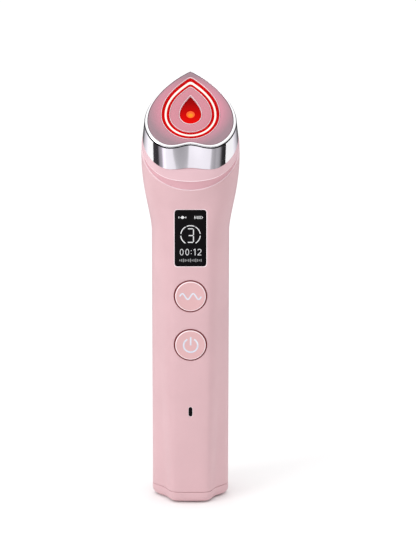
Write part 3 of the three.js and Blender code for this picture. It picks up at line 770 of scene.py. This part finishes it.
# Rows of (height, inset): the foot's recess, the rounded edge, the edge at the seam, the
# tongue inside the shells and the hollow.
cap_rows = [(0.95, FOOT_INSET - GAP), (BASE_LOW, FOOT_INSET - GAP)]
cap_rows += [
    (BASE_LOW + 2.77 * (1 - math.cos(a)), 2.6 * (1 - math.sin(a)) ** 1.25)
    for a in radians(*range(6, 91, 6))
]
cap_rows += [(BASE_TOP - drop, inset) for drop, inset in rounded(EDGE, *ARC)]
cap_rows += [(BASE_TOP, TONGUE_INSET), (BASE_TOP + TONGUE_RISE, TONGUE_INSET)]
cap_rows += [(BASE_TOP + TONGUE_RISE, HOLLOW_INSET), (CAP_FLOOR, HOLLOW_INSET)]
cap = mesh_object("base_cap_skin", *loft([flat_ring(*row) for row in cap_rows]), PINK)
for x in (-SCREW_X, SCREW_X):
    boolean(cap, prism(SCREW_BOSS, x, SCREW_Y, 1.5, BASE_TOP), "UNION")
    boolean(cap, prism(SCREW_BORE, x, SCREW_Y, 0, BASE_TOP + 1))
    boolean(cap, prism(SCREW_HEAD, x, SCREW_Y, 0, 2.75))
boolean(cap, prism(PORT(0.3), 0, PORT_Y, -1, 4))
smooth(cap.data)
place(cap, "handle", ["base_cap"])

foot_rows = [(0, 3.25), (0.04, 3.12), (0.13, 3), (0.3, 2.93), (0.5, FOOT_INSET)]
foot_rows.append((0.93, FOOT_INSET))
foot = mesh_object("base_foot_skin", *loft([flat_ring(*row) for row in foot_rows]), FOOT)
boolean(foot, prism(PORT(1.2), 0, PORT_Y, -1, 3))
smooth(foot.data)
place(foot, "handle", ["base_foot"])

# ------------------------------------------------------------ the nodes that keep their CAD shape

CARRIED = {
    "display_module": BLACK_PLASTIC, "indicator_led": WHITE_PLASTIC,
    "mode_switch_plunger": BLACK_PLASTIC, "power_switch_plunger": BLACK_PLASTIC,
    "mode_switch_body": BLACK_PLASTIC, "power_switch_body": BLACK_PLASTIC,
    "main_board": BOARD, "processor_chip": BLACK_PLASTIC, "boost_transformer": FILM,
    "battery_plug": WHITE_PLASTIC, "head_plug": WHITE_PLASTIC,
    "board_screw_1": STEEL, "board_screw_2": STEEL,
    "charge_board": BOARD, "usb_socket": STEEL, "usb_tongue": BLACK_PLASTIC,
    "battery_cradle": WHITE_PLASTIC, "battery_cell": WRAP,
    "battery_tab_top": BRASS, "battery_tab_bottom": BRASS,
    "battery_lead_red": RED_WIRE, "battery_lead_black": BLACK_PLASTIC,
    "charge_lead_red": RED_WIRE, "charge_lead_black": BLACK_PLASTIC,
    "motor_can": STEEL, "motor_sleeve": RUBBER, "motor_shaft": STEEL, "motor_weight": BRASS,
    "head_flex_lead": FILM, "head_frame": WHITE_PLASTIC, "led_board": BOARD,
    "cap_screw_left": STEEL, "cap_screw_right": STEEL,
    "head_screw_left": STEEL, "head_screw_right": STEEL,
    "band_contact_left": BRASS, "band_contact_right": BRASS,
    **{f"ring_led_{i}": WHITE_PLASTIC for i in range(1, 7)},
}
for name, material in CARRIED.items():
    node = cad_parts[name]
    node.data.materials.clear()
    node.data.materials.append(material)
    bevel = node.modifiers.new("edge", "BEVEL")
    bevel.width = 0.12 * MM
    bevel.segments = 2
    bevel.limit_method = "ANGLE"
    bevel.angle_limit = math.radians(40)
    smooth(node.data, 40)


def sweep_piece(name, rows, material, replaced, caps="fan"):
    """A piece of the sweep through rows of (height, inset, along)."""
    rings = [outline(*row) for row in rows]
    place(mesh_object(name, *loft(rings, caps), material), "handle", replaced)


def round_over(height, radius, upper):
    """Rows that round an edge of the sweep at this height: its upper edge or its lower."""
    turn = 1 if upper else -1
    rows = rounded(radius, *ARC)[::-turn]
    return [(height, inset, -turn * drop) for inset, drop in rows]


# ------------------------------------------------------------ neck

SEAL_LOW = SHELL_TOP + 0.03
SEAL_TOP = COLLAR_LOW - 0.06
GROOVE = 0.7  # how deep the seal lies below the surface
sweep_piece(
    "neck_seal_skin",
    [(SEAL_LOW, 3, 0)]
    + [(h, GROOVE, 0) for h in (SEAL_LOW, SEAM, SEAM + 1, SEAM + 2, SEAL_TOP)]
    + [(SEAL_TOP, 3, 0)],
    SEAL, ["neck_seal"],
)
sweep_piece(
    "neck_collar_skin",
    [(COLLAR_LOW, 4, 0)] + round_over(COLLAR_LOW, 0.3, False)
    + [(h, 0, 0) for h in span(COLLAR_LOW + 0.4, COLLAR_TOP - 0.3, 12)]
    + round_over(COLLAR_TOP, 0.15, True) + [(COLLAR_TOP, 4, 0)],
    COLLAR, ["neck_collar"],
)

# Painted highlights: pale lines on the rounded edges either side of the seal.
sweep_piece(
    "shell_rim_highlight",
    [(SHELL_TOP, GROOVE, 0.015), (SHELL_TOP, 0.5, 0.015), (SHELL_TOP, 0.22, -0.04),
     (SHELL_TOP, 0.08, -0.16), (SHELL_TOP, GROOVE, -0.3)],
    LIP_HIGHLIGHT, [], "loop",
)
sweep_piece(
    "collar_rim_highlight",
    [(COLLAR_LOW, 0.3, -0.01), (COLLAR_LOW, 0.12, 0.04), (COLLAR_LOW, 0.02, 0.14),
     (COLLAR_LOW, -0.012, 0.26), (COLLAR_LOW, -0.012, 0.42), (COLLAR_LOW, 0.4, 0.42)],
    EDGE_HIGHLIGHT, [], "loop",
)

# ------------------------------------------------------------ head


# The plated band: a wall ruled straight from the collar up to the step below the rim.
BAND_LOW = COLLAR_TOP + 0.2
wall_foot = outline(BAND_LOW, 0, 0.15)
wall_crown = outline(FACE, 0, -0.9)
band_rings = [outline(BAND_LOW, BAND_WALL), outline(BAND_LOW, 0.15)]
band_rings += [[a.lerp(b, t) for a, b in zip(wall_foot, wall_crown)] for t in span(0, 1, 12)]
# Then rows of (inset, along): the step that the painted shadow line lies on, the rim's
# rounded top and the inner wall round the plates.
top_rows = [(0.42, -0.9), (0.42, -0.32), (0.26, -0.37), (0.27, -0.3), (0.32, -0.22)]
top_rows += [(0.4, -0.16), (0.52, -0.1), (0.7, -0.04), (0.9, -0.01), (1.1, 0)]
top_rows += [(1.24, -0.02), (1.32, -0.09), (BAND_WALL, -0.2), (BAND_WALL, -2.35)]
band_rings += [outline(FACE, *row) for row in top_rows]
band = mesh_object("electrode_band_skin", *loft(band_rings, "loop"), CHROME, 50)
place(band, "handle", ["electrode_band"])
# A strip of painted shade: a dull black line on the step below the band's rim.
sweep_piece(
    "rim_shadow_line",
    [(FACE, 0.41, -0.89), (FACE, -0.01, -0.89), (FACE, 0.0, -0.74), (FACE, 0.05, -0.58),
     (FACE, 0.14, -0.44), (FACE, 0.25, -0.36), (FACE, 0.41, -0.33)],
    SHADOW_LINE_BLACK, [], "loop",
)


def heart_line(inset):
    """The face's heart in the head's frame, pulled in by inset."""
    return [Vector(p) for p in flat_outline(section(FACE), inset)]


def drop_line(radius, tip):
    """A teardrop in the head's frame, from its lowest point round by +x. Its radius is that
    of the round part, and tip is where its point would be without the blunting."""
    rise = tip - DROP_CENTRE
    lower = [
        Vector((radius * math.sin(a), DROP_CENTRE - radius * math.cos(a)))
        for a in span(0, math.pi / 2, 30)
    ]
    full = share(radius, 5, 8.5)  # the ring's shoulders are fuller than the window's
    upper = bezier(
        (radius, DROP_CENTRE), (radius, DROP_CENTRE + (0.36 + 0.04 * full) * rise),
        ((0.58 + 0.04 * full) * radius, DROP_CENTRE + (0.65 + 0.05 * full) * rise), (0, tip),
    )
    # The point is cut off where it gets narrow, and closed with a small round.
    narrow = 0.104 * radius
    right = [p for p in evenly(lower + upper[1:], 60) if p.x > narrow or p.y < DROP_CENTRE]
    top = right[-1]
    right += [
        Vector((top.x * (1 - t), top.y + (tip - top.y) * (1 - (1 - t) ** 2) * 0.66))
        for t in (0.25, 0.5, 0.75, 1)
    ]
    return right + [Vector((-p.x, p.y)) for p in reversed(right[1:-1])]


def regular(line, count):
    """A closed line through count evenly spaced points, from its first point."""
    whole = [*line, line[0]]
    return at_lengths(whole, span(0, lengths(whole)[-1], count + 1)[:-1])


def in_head(p, z):
    return HEAD @ Vector((p.x, p.y, z))


ROUND_COUNT = 120  # points round each ring of the face
FACE_Z = -0.1
LIP_Z = FACE_Z + 0.04
RING_Z = FACE_Z - 0.2
PLATE_BACK = -2.2


def ring_between(name, outer, inner, profile, material, replaced):
    """A flat band of the face between two lines. The profile's rows are (where, pull, z):
    0 at the outer line to 1 at the inner, and pulled that far away from its line."""
    rings = []
    for where, pull, z in profile:
        a, b = regular(outer(pull), ROUND_COUNT), regular(inner(pull), ROUND_COUNT)
        rings.append([in_head(p.lerp(q, where), z) for p, q in zip(a, b)])
    place(mesh_object(name, *loft(rings, "loop"), material, 40), "handle", replaced)


def soft_band(edge, top, back, dome=0.0, across=3):
    """The profile of a band with rounded upper edges and a domed top."""
    side = top - dome
    corner = [(pull, side - drop) for pull, drop in rounded(edge, 0, 30, 60, 90)]
    rows = [(0, 0, back)] + [(0, *row) for row in corner]
    rows += [(t, edge, side + dome * (1 - (2 * t - 1) ** 2)) for t in span(0, 1, across)[1:-1]]
    return rows + [(1, *row) for row in reversed(corner)] + [(1, 0, back)]


def drops(radius, tip, side=-1):
    """A teardrop by how far it is pulled in (side -1) or out (side 1)."""
    return lambda pull: drop_line(radius + side * pull, tip + 1.5 * side * pull)


def plate_highlight_line(name, outer, inner):
    """A pale raised line of painted highlight between two drops of (radius, tip)."""
    profile = soft_band(0.1, LIP_Z, PLATE_BACK)
    ring_between(name, drops(*outer), drops(*inner, 1), profile, LIP_HIGHLIGHT, [])


ring_between(
    "outer_plate_skin", lambda pull: heart_line(BAND_WALL + GAP + pull), drops(12.4, 36.8, 1),
    soft_band(0.2, FACE_Z, PLATE_BACK, 0.12, 9), OUTER_PLATE, ["outer_face_plate"],
)
plate_highlight_line("outer_plate_highlight", (12.38, 36.77), (12.12, 36.38))
ring_between(
    "light_ring_outer", drops(12, 36.2), drops(10.82, 34.45, 1),
    soft_band(0.15, RING_Z, PLATE_BACK), RING_RED, ["light_ring"],
)
ring_between(
    "light_ring_inner", drops(10.0, 33.08), drops(8.95, 31.8, 1),
    soft_band(0.15, RING_Z, PLATE_BACK), RING_RED, [],
)
ring_between(
    "light_core_skin", drops(10.8, 34.42), drops(10.02, 33.11, 1),
    soft_band(0.12, RING_Z + 0.04, -0.95), RING_WHITE, ["light_ring_core"],
)
plate_highlight_line("inner_plate_highlight", (8.83, 31.62), (8.6, 31.28))
ring_between(
    "inner_plate_skin", drops(8.58, 31.25), drops(4.86, 27.2, 1),
    soft_band(0.2, FACE_Z, PLATE_BACK, 0.1, 9), INNER_PLATE, ["inner_face_plate"],
)
plate_highlight_line("window_edge_highlight", (4.84, 27.17), (4.57, 26.78))


def lamp_hole(pull):
    """The round hole in the centre window."""
    radius = 2.2 + pull
    return [
        Vector((radius * math.sin(a), LED_Q - radius * math.cos(a)))
        for a in span(0, 2 * math.pi, ROUND_COUNT + 1)[:-1]
    ]


WINDOW_Z = FACE_Z - 0.8
window_rows = [(0, 0, PLATE_BACK), (0, 0, WINDOW_Z - 0.1)]
window_rows += [(t, 0.1, WINDOW_Z) for t in span(0, 1, 8)]
window_rows += [(1, 0, WINDOW_Z - 0.1), (1, 0, PLATE_BACK)]
ring_between(
    "centre_window_skin", drops(4.45, 26.6), lamp_hole, window_rows, WINDOW_RED,
    ["centre_window"],
)

AXIS = 0.02  # radius where a turned profile closes on its axis


def turned(name, profile, matrix, material, caps="fan", count=64):
    """A profile of (radius, z) turned about z, then put in place by the matrix."""
    turns = [2 * math.pi * i / count for i in range(count)]
    rings = [
        [matrix @ Vector((r * math.cos(a), r * math.sin(a), z)) for a in turns]
        for r, z in profile
    ]
    return mesh_object(name, *loft(rings, caps), material, 40)


AT_LED = HEAD @ Matrix.Translation(Vector((0, LED_Q, 0)))
AMBER_AT = AT_LED @ Matrix.Translation(Vector((0, -0.32, 0)))
dome_rows = [(AXIS, -5.4), (1.16, -5.4), (1.16, -1.3), (1.05, -1.08), (0.8, -0.98)]
dome_rows += [(0.4, -0.95), (AXIS, -0.94)]
rim_rows = [(1.44, -2.2), (1.74, -2.2), (1.74, -1.05), (1.7, -0.95), (1.5, -0.95)]
rim_rows.append((1.46, -1.05))
seat_rows = [(AXIS, -5.0), (1.72, -5.0), (1.72, -1.25), (AXIS, -1.25)]
collar_rows = [(1.76, -2.2), (2.18, -2.2), (2.18, -0.9), (1.76, -0.98)]
lamp_dome = turned("centre_led_dome", dome_rows, AMBER_AT, LAMP_AMBER)
place(lamp_dome, "handle", ["centre_led"])
lamp_rim = turned("centre_led_rim", rim_rows, AT_LED, LAMP_RIM)
place(lamp_rim, "handle", [])
lamp_seat = turned("centre_led_seat", seat_rows, AT_LED, LAMP_SEAT)
place(lamp_seat, "handle", [])
lamp_collar = turned("centre_led_collar", collar_rows, AT_LED, WINDOW_RED, "loop")
place(lamp_collar, "handle", [])

# ------------------------------------------------------------ keys

KEY_TOP = HANDLE_HALF_DEPTH + 0.3
KEY_RADIUS = 6.5
KEY_EDGE = 0.5
KEY_FLAT = KEY_RADIUS - KEY_EDGE
KEY_COUNT = 96


def facing(z):
    """Local x stays x, local y is up, local z comes out of the front at the height z."""
    return Matrix.Translation(Vector((0, 0, z))) @ Matrix.Rotation(math.pi / 2, 4, "X")


def dished(r):
    return KEY_TOP - 0.16 * max(1 - (r / 5.9) ** 2, 0)


def rolled(radius, *angles):
    """Rows of (radius, z) over the key's edge: 90 degrees is its side, 0 its top."""
    middle = KEY_TOP - KEY_EDGE
    turns = radians(*angles)
    return [(KEY_FLAT + radius * math.sin(a), middle + radius * math.cos(a)) for a in turns]


def key_cap(name, z, body, node):
    """A shallowly dished cap with a painted highlight on its soft edge, on a skirt that the shell
    holds in, painted dark as the shade in the gap round the cap.
    """
    cap = [(AXIS, 13.7), (KEY_RADIUS, 13.7), (KEY_RADIUS, KEY_TOP - KEY_EDGE)]
    cap += rolled(KEY_EDGE, 90, 75, 60, 45, 30, 15, 0)
    cap += [(r, dished(r)) for r in (5.8, 5, 4, 3, 2, 1, AXIS)]
    # A pale band of painted highlight over the cap's rounded edge.
    crest = rolled(KEY_EDGE + 0.01, 62, 45, 30, 16)
    crest += [(KEY_FLAT, KEY_TOP - 0.3), (KEY_FLAT + 0.3, KEY_TOP - 0.4)]
    skirt = [(AXIS, 11.75), (7.6, 11.75), (7.6, 12.55), (6.95, 12.55), (6.95, 14.25)]
    skirt += [(6.9, 14.3), (6.51, 14.3), (6.51, 13.65), (AXIS, 13.65)]
    for end, profile, material, caps, nodes in (
        ("", cap, KEY, "fan", [node]),
        ("_edge_highlight", crest, EDGE_HIGHLIGHT, "loop", []),
        ("_skirt", skirt, KEY_SKIRT_SHADE, "fan", []),
    ):
        obj = turned(name + end, profile, facing(z), material, caps, KEY_COUNT)
        place(obj, body, nodes)


key_cap("mode_key_cap", MODE_Z, "mode_button", "mode_button_cap")
key_cap("power_key_cap", POWER_Z, "power_button", "power_button_cap")


# A stroke's cross-section: rows of (side, depth), the side as a share of half its width.
STROKE = ((-1, 0.03), (-1, 0), (-0.4, -0.002), (0.4, -0.002), (1, 0), (1, 0.03))


def ribbon(points, width, lift, closed=False):
    """Points and faces of a flat stroke along a line in x and y, lift(x, y) out of the face."""
    n = len(points)
    rows = []
    for i, p in enumerate(points):
        a = points[i - 1] if i or closed else points[0]
        b = points[(i + 1) % n] if i < n - 1 or closed else points[-1]
        along = (b - a).normalized()
        side = Vector((-along.y, along.x)) * width / 2
        rows.append([
            (p + side * s, lift((p + side * s).x, (p + side * s).y) - d)
            for s, d in STROKE
        ])
    rings = [[Vector((q.x, q.y, z)) for q, z in row] for row in rows]
    return loft(rings, caps="loop" if closed else "fan")


def stroke_group(name, strokes, matrix, material, body):
    """Several strokes as one piece. Each stroke is the points and faces of a ribbon."""
    verts, faces = [], []
    for v, f in strokes:
        base = len(verts)
        verts += [matrix @ Vector(p) for p in v]
        faces += [tuple(i + base for i in face) for face in f]
    return place(mesh_object(name, verts, faces, material), body, [])


def arc(cx, cy, radius, start, end, count=24, tall=1.0):
    return [
        Vector((cx + radius * math.cos(a), cy + tall * radius * math.sin(a)))
        for a in radians(*span(start, end, count))
    ]


def path(*points):
    """A polyline with enough points to lie on a curved surface."""
    corners = [Vector(p) for p in points]
    out = [corners[0]]
    for a, b in zip(corners, corners[1:]):
        steps = max(2, int((b - a).length / 0.3))
        out += [a.lerp(b, (i + 1) / steps) for i in range(steps)]
    return out


def on_key(x, y):
    return dished(math.hypot(x, y)) + 0.02


wave = [Vector((x, 1.25 * math.sin(x / 4.6 * 2 * math.pi))) for x in span(-4.6, 4.6, 80)]
stroke_group(
    "mode_key_symbol", [ribbon(wave, 0.6, on_key)],
    facing(MODE_Z), INK, "mode_button",
)
stroke_group(
    "power_key_symbol",
    [ribbon(arc(0.08, -0.1, 3.0, 118, 422, 60), 0.68, on_key),
     ribbon(path((0.08, 3.6), (0.08, -0.1)), 0.68, on_key)],
    facing(POWER_Z), INK, "power_button",
)

# ------------------------------------------------------------ display and indicator

GLASS_FRONT = HANDLE_HALF_DEPTH - 0.45


def pane(name, line, matrix, back, front_z, material, replaced):
    """A plate of the handle with a rounded front edge. line(grow) gives its outline."""
    rows = [(0, back)] + [(-pull, front_z - drop) for pull, drop in rounded(0.15, 0, 30, 60, 90)]
    rings = [[matrix @ Vector((x, y, z)) for x, y in line(grow)] for grow, z in rows]
    place(mesh_object(name, *loft(rings), material), "handle", replaced)


pane(
    "display_window_skin", slots(6.6, 12.2, 1.1), facing(DISPLAY_Z), HANDLE_HALF_DEPTH - 1.8,
    GLASS_FRONT, GLASS, ["display_window"],
)


def on_glass(_x, _y):
    return GLASS_FRONT + 0.012


def strokes(*rows):
    """Straight strokes on the glass, each (width, point, point, ...)."""
    return [ribbon(path(*points), width, on_glass) for width, *points in rows]


def numeral_three(left, right, low, high, width):
    """The strokes of a segment-built 3 in this frame."""
    middle = (low + high) / 2
    return strokes(
        (width, (left, high), (right - 0.2, high)),
        (width, (left + 0.35, middle), (right - 0.2, middle)),
        (width, (left, low), (right - 0.2, low)),
        (width, (right, high - 0.2), (right, middle + 0.2)),
        (width, (right, middle - 0.2), (right, low + 0.2)),
    )


# The level: a numeral in a broken ring, and a slider mark above it with its knob and ends.
level = numeral_three(-1.1, 1.25, -1.8, 4.1, 0.4)
for start, end in ((66, 114), (8, 60), (120, 172), (184, 238), (302, 356)):
    level.append(ribbon(arc(0, 1.35, 4.1, start, end), 0.38, on_glass))
level.append(ribbon(arc(-3.35, 9.0, 0.34, 0, 360)[:-1], 0.6, on_glass, closed=True))
level += strokes(
    (0.3, (-4.9, 8.6), (-4.9, 9.4)),
    (0.16, (-4.45, 8.95), (-2.2, 8.95)),
    (0.3, (-1.95, 8.65), (-1.95, 9.35)),
)
stroke_group("display_level", level, facing(DISPLAY_Z), GLYPH, "handle")

# The clock: two noughts, a colon, a one and a two.
clock = [
    ribbon(arc(x, -6.05, 0.66, 0, 360, 40, 1.95)[:-1], 0.22, on_glass, closed=True)
    for x in (-3.72, -1.38)
]
clock += strokes(
    (0.26, (0.16, -5.4), (0.48, -5.4)),
    (0.26, (0.16, -6.7), (0.48, -6.7)),
    (0.26, (1.3, -5.2), (1.9, -4.75)),
    (0.28, (1.95, -4.65), (1.95, -7.45)),
)
two = arc(3.75, -5.5, 0.72, 160, -30, 16) + path((4.3, -6.0), (3.05, -7.25))[1:]
clock.append(ribbon(two, 0.26, on_glass))
# Its base line, then the battery mark: a case, three bars, a nib, and a small bolt before it.
clock += strokes(
    (0.26, (2.95, -7.3), (4.55, -7.3)),
    (0.15, (2.6, 8.5), (4.9, 8.5), (4.9, 9.5), (2.6, 9.5), (2.6, 8.6)),
    *((0.26, (x, 8.74), (x, 9.26)) for x in (3.05, 3.6, 4.15)),
    (0.22, (5.08, 8.8), (5.08, 9.2)),
    (0.26, (1.95, 9.65), (1.6, 8.95), (2.1, 9.0), (1.75, 8.3)),
)
stroke_group("display_clock", clock, facing(DISPLAY_Z), GLYPH, "handle")

# A row of plain bars of three heights, in place of a line of words.
bar_heights = (0.7, 1.1, 1.5, 1.1, 0.7, 1.1, 1.5) * 2
bars = strokes(*(
    (0.4, (x, -9.65 - h / 2), (x, -9.65 + h / 2))
    for x, h in zip(span(-4.5, 4.5, 13), bar_heights)
))
stroke_group("display_row", bars, facing(DISPLAY_Z), GLYPH_DIM, "handle")

pane(
    "indicator_lens_skin", slots(0.75, 2.05, 0.74), facing(PILL_Z), 9.2,
    HANDLE_HALF_DEPTH - 0.05, PILL, ["indicator_lens"],
)

# ------------------------------------------------------------ studio


def plain(name, colour, rough):
    """A matte studio surface with no gloss of its own."""
    f = Finish(name)
    f.colours(f.mottle(3), scaled(colour, 0.99), colour)
    f.set(Roughness=rough, Specular_IOR_Level=0)
    return f.material


def studio_sheet(name, corners, material):
    mesh = bpy.data.meshes.new(name)
    mesh.from_pydata(corners, [], [(0, 1, 2, 3)])
    mesh.materials.append(material)
    obj = in_scene(name, mesh)
    return obj


floor_white = plain("floor_white", (0.93, 0.93, 0.93), 0.7)
studio_sheet("floor", [(-6, -6, 0), (6, -6, 0), (6, 6, 0), (-6, 6, 0)], floor_white)

# The room is brightest overhead and dimmer towards the horizon.
world = bpy.data.worlds.new("studio")
bpy.context.scene.world = world
world.use_nodes = True
sky = world.node_tree
sky.nodes["Background"].inputs["Color"].default_value = (1, 1, 1, 1)
aim = sky.nodes.new("ShaderNodeTexCoord")
split = sky.nodes.new("ShaderNodeSeparateXYZ")
rise = sky.nodes.new("ShaderNodeMapRange")
for end, value in zip(RAMP_ENDS, (0, 1, 0.42, 1.45)):
    rise.inputs[end].default_value = value
sky.links.new(aim.outputs["Generated"], split.inputs[0])
sky.links.new(split.outputs["Z"], rise.inputs["Value"])
sky.links.new(rise.outputs["Result"], sky.nodes["Background"].inputs["Strength"])


def card(name, corners, colour):
    """A flat studio card that shows only in glossy surfaces, and not to the camera."""
    obj = studio_sheet(name, corners, plain(name, colour, 0.8))
    obj.visible_camera = False
    obj.visible_diffuse = False
    obj.visible_shadow = False


CARD_REACH = 2.5
CARD_RISE = 0.001


def nearest(bearing):
    """Where a card begins: further off in front, so that the wand's foot mirrors the floor."""
    if -48 < bearing < 46:
        return 0.165
    return 0.092 if bearing < 90 else 0.05


def wedge(start, end, tone):
    """A card on the floor between two bearings from the wand, counted from the front."""
    near = nearest(start)
    corners = [
        (r * math.sin(math.radians(t)), -r * math.cos(math.radians(t)), CARD_RISE)
        for r, t in ((near, start), (CARD_REACH, start), (CARD_REACH, end), (near, end))
    ]
    # A faintly mauve grey, and a little stronger at the left.
    green = 0.92 if start < -40 else 0.97
    card(f"card_{start + 100:03.0f}", corners, (tone, tone * green, tone * 1.03))


WEDGE_STEP = 2  # degrees across each card
# What a glossy surface sees of the studio floor: rows of (bearing, tone), blended evenly
# from each row to the next.
LEFT_TONES = [
    (-96, 0.05), (-74, 0.03), (-69, 0.08), (-65, 0.25), (-56, 0.32), (-50, 0.42), (-45, 0.95),
    (-34, 1.0), (-26, 0.86), (-6, 0.82), (4, 0.8), (8, 0.66),
]
RIGHT_TONES = [
    (8, 0.56), (13, 0.42), (28, 0.33), (38, 0.40), (48, 0.36), (56, 0.28), (62, 0.12),
    (68, 0.03), (86, 0.02),
]
REAR_TONES = [(124, 0.93), (146, 0.5), (156, 0.12), (204, 0.12), (214, 0.5), (236, 0.93)]
for tones in (LEFT_TONES, RIGHT_TONES, REAR_TONES):
    for (start, low), (end, high) in zip(tones, tones[1:]):
        steps = max(1, round((end - start) / WEDGE_STEP))
        for i in range(steps):
            a, b = mix(start, end, i / steps), mix(start, end, (i + 1) / steps)
            wedge(a, b, mix(low, high, (i + 0.5) / steps))
card(
    "card_behind_camera",
    [(-0.5, -1.5, 0.2), (0.5, -1.5, 0.2), (0.5, -1.5, 0.9), (-0.5, -1.5, 0.9)],
    (0.012, 0.012, 0.014),
)

# One soft key light from the front left, aimed at the middle of the wand.
key_data = bpy.data.lights.new("key_left", "AREA")
key_data.shape = "RECTANGLE"
key_data.size = 0.6
key_data.size_y = 0.9
key_data.energy = 6
key_light = in_scene("key_left", key_data)
key_light.location = (-1.0, -0.78, 0.7)
key_aim = Vector((0, 0, 0.1)) - Vector((-1.0, -0.78, 0.7))
key_light.rotation_mode = "QUATERNION"
key_light.rotation_quaternion = key_aim.to_track_quat("-Z", "Y")

# The camera looks slightly down at the middle of the wand, which stands left of centre.
CAMERA_FAR = 1.1
CAMERA_AIM = 0.0975
LOOK_DOWN = math.radians(15)
camera_data = bpy.data.cameras.new("camera")
camera_data.lens = 166.4
camera_data.sensor_width = 36
camera_data.shift_x = 0.03153
camera_data.clip_start = 0.05
camera_data.clip_end = 30
camera = in_scene("camera", camera_data)
camera.location = (
    0, -CAMERA_FAR * math.cos(LOOK_DOWN), CAMERA_AIM + CAMERA_FAR * math.sin(LOOK_DOWN),
)
camera.rotation_euler = (math.pi / 2 - LOOK_DOWN, 0, 0)
bpy.context.scene.camera = camera

bpy.context.scene.view_settings.view_transform = "Standard"
bpy.context.scene.view_settings.look = "None"
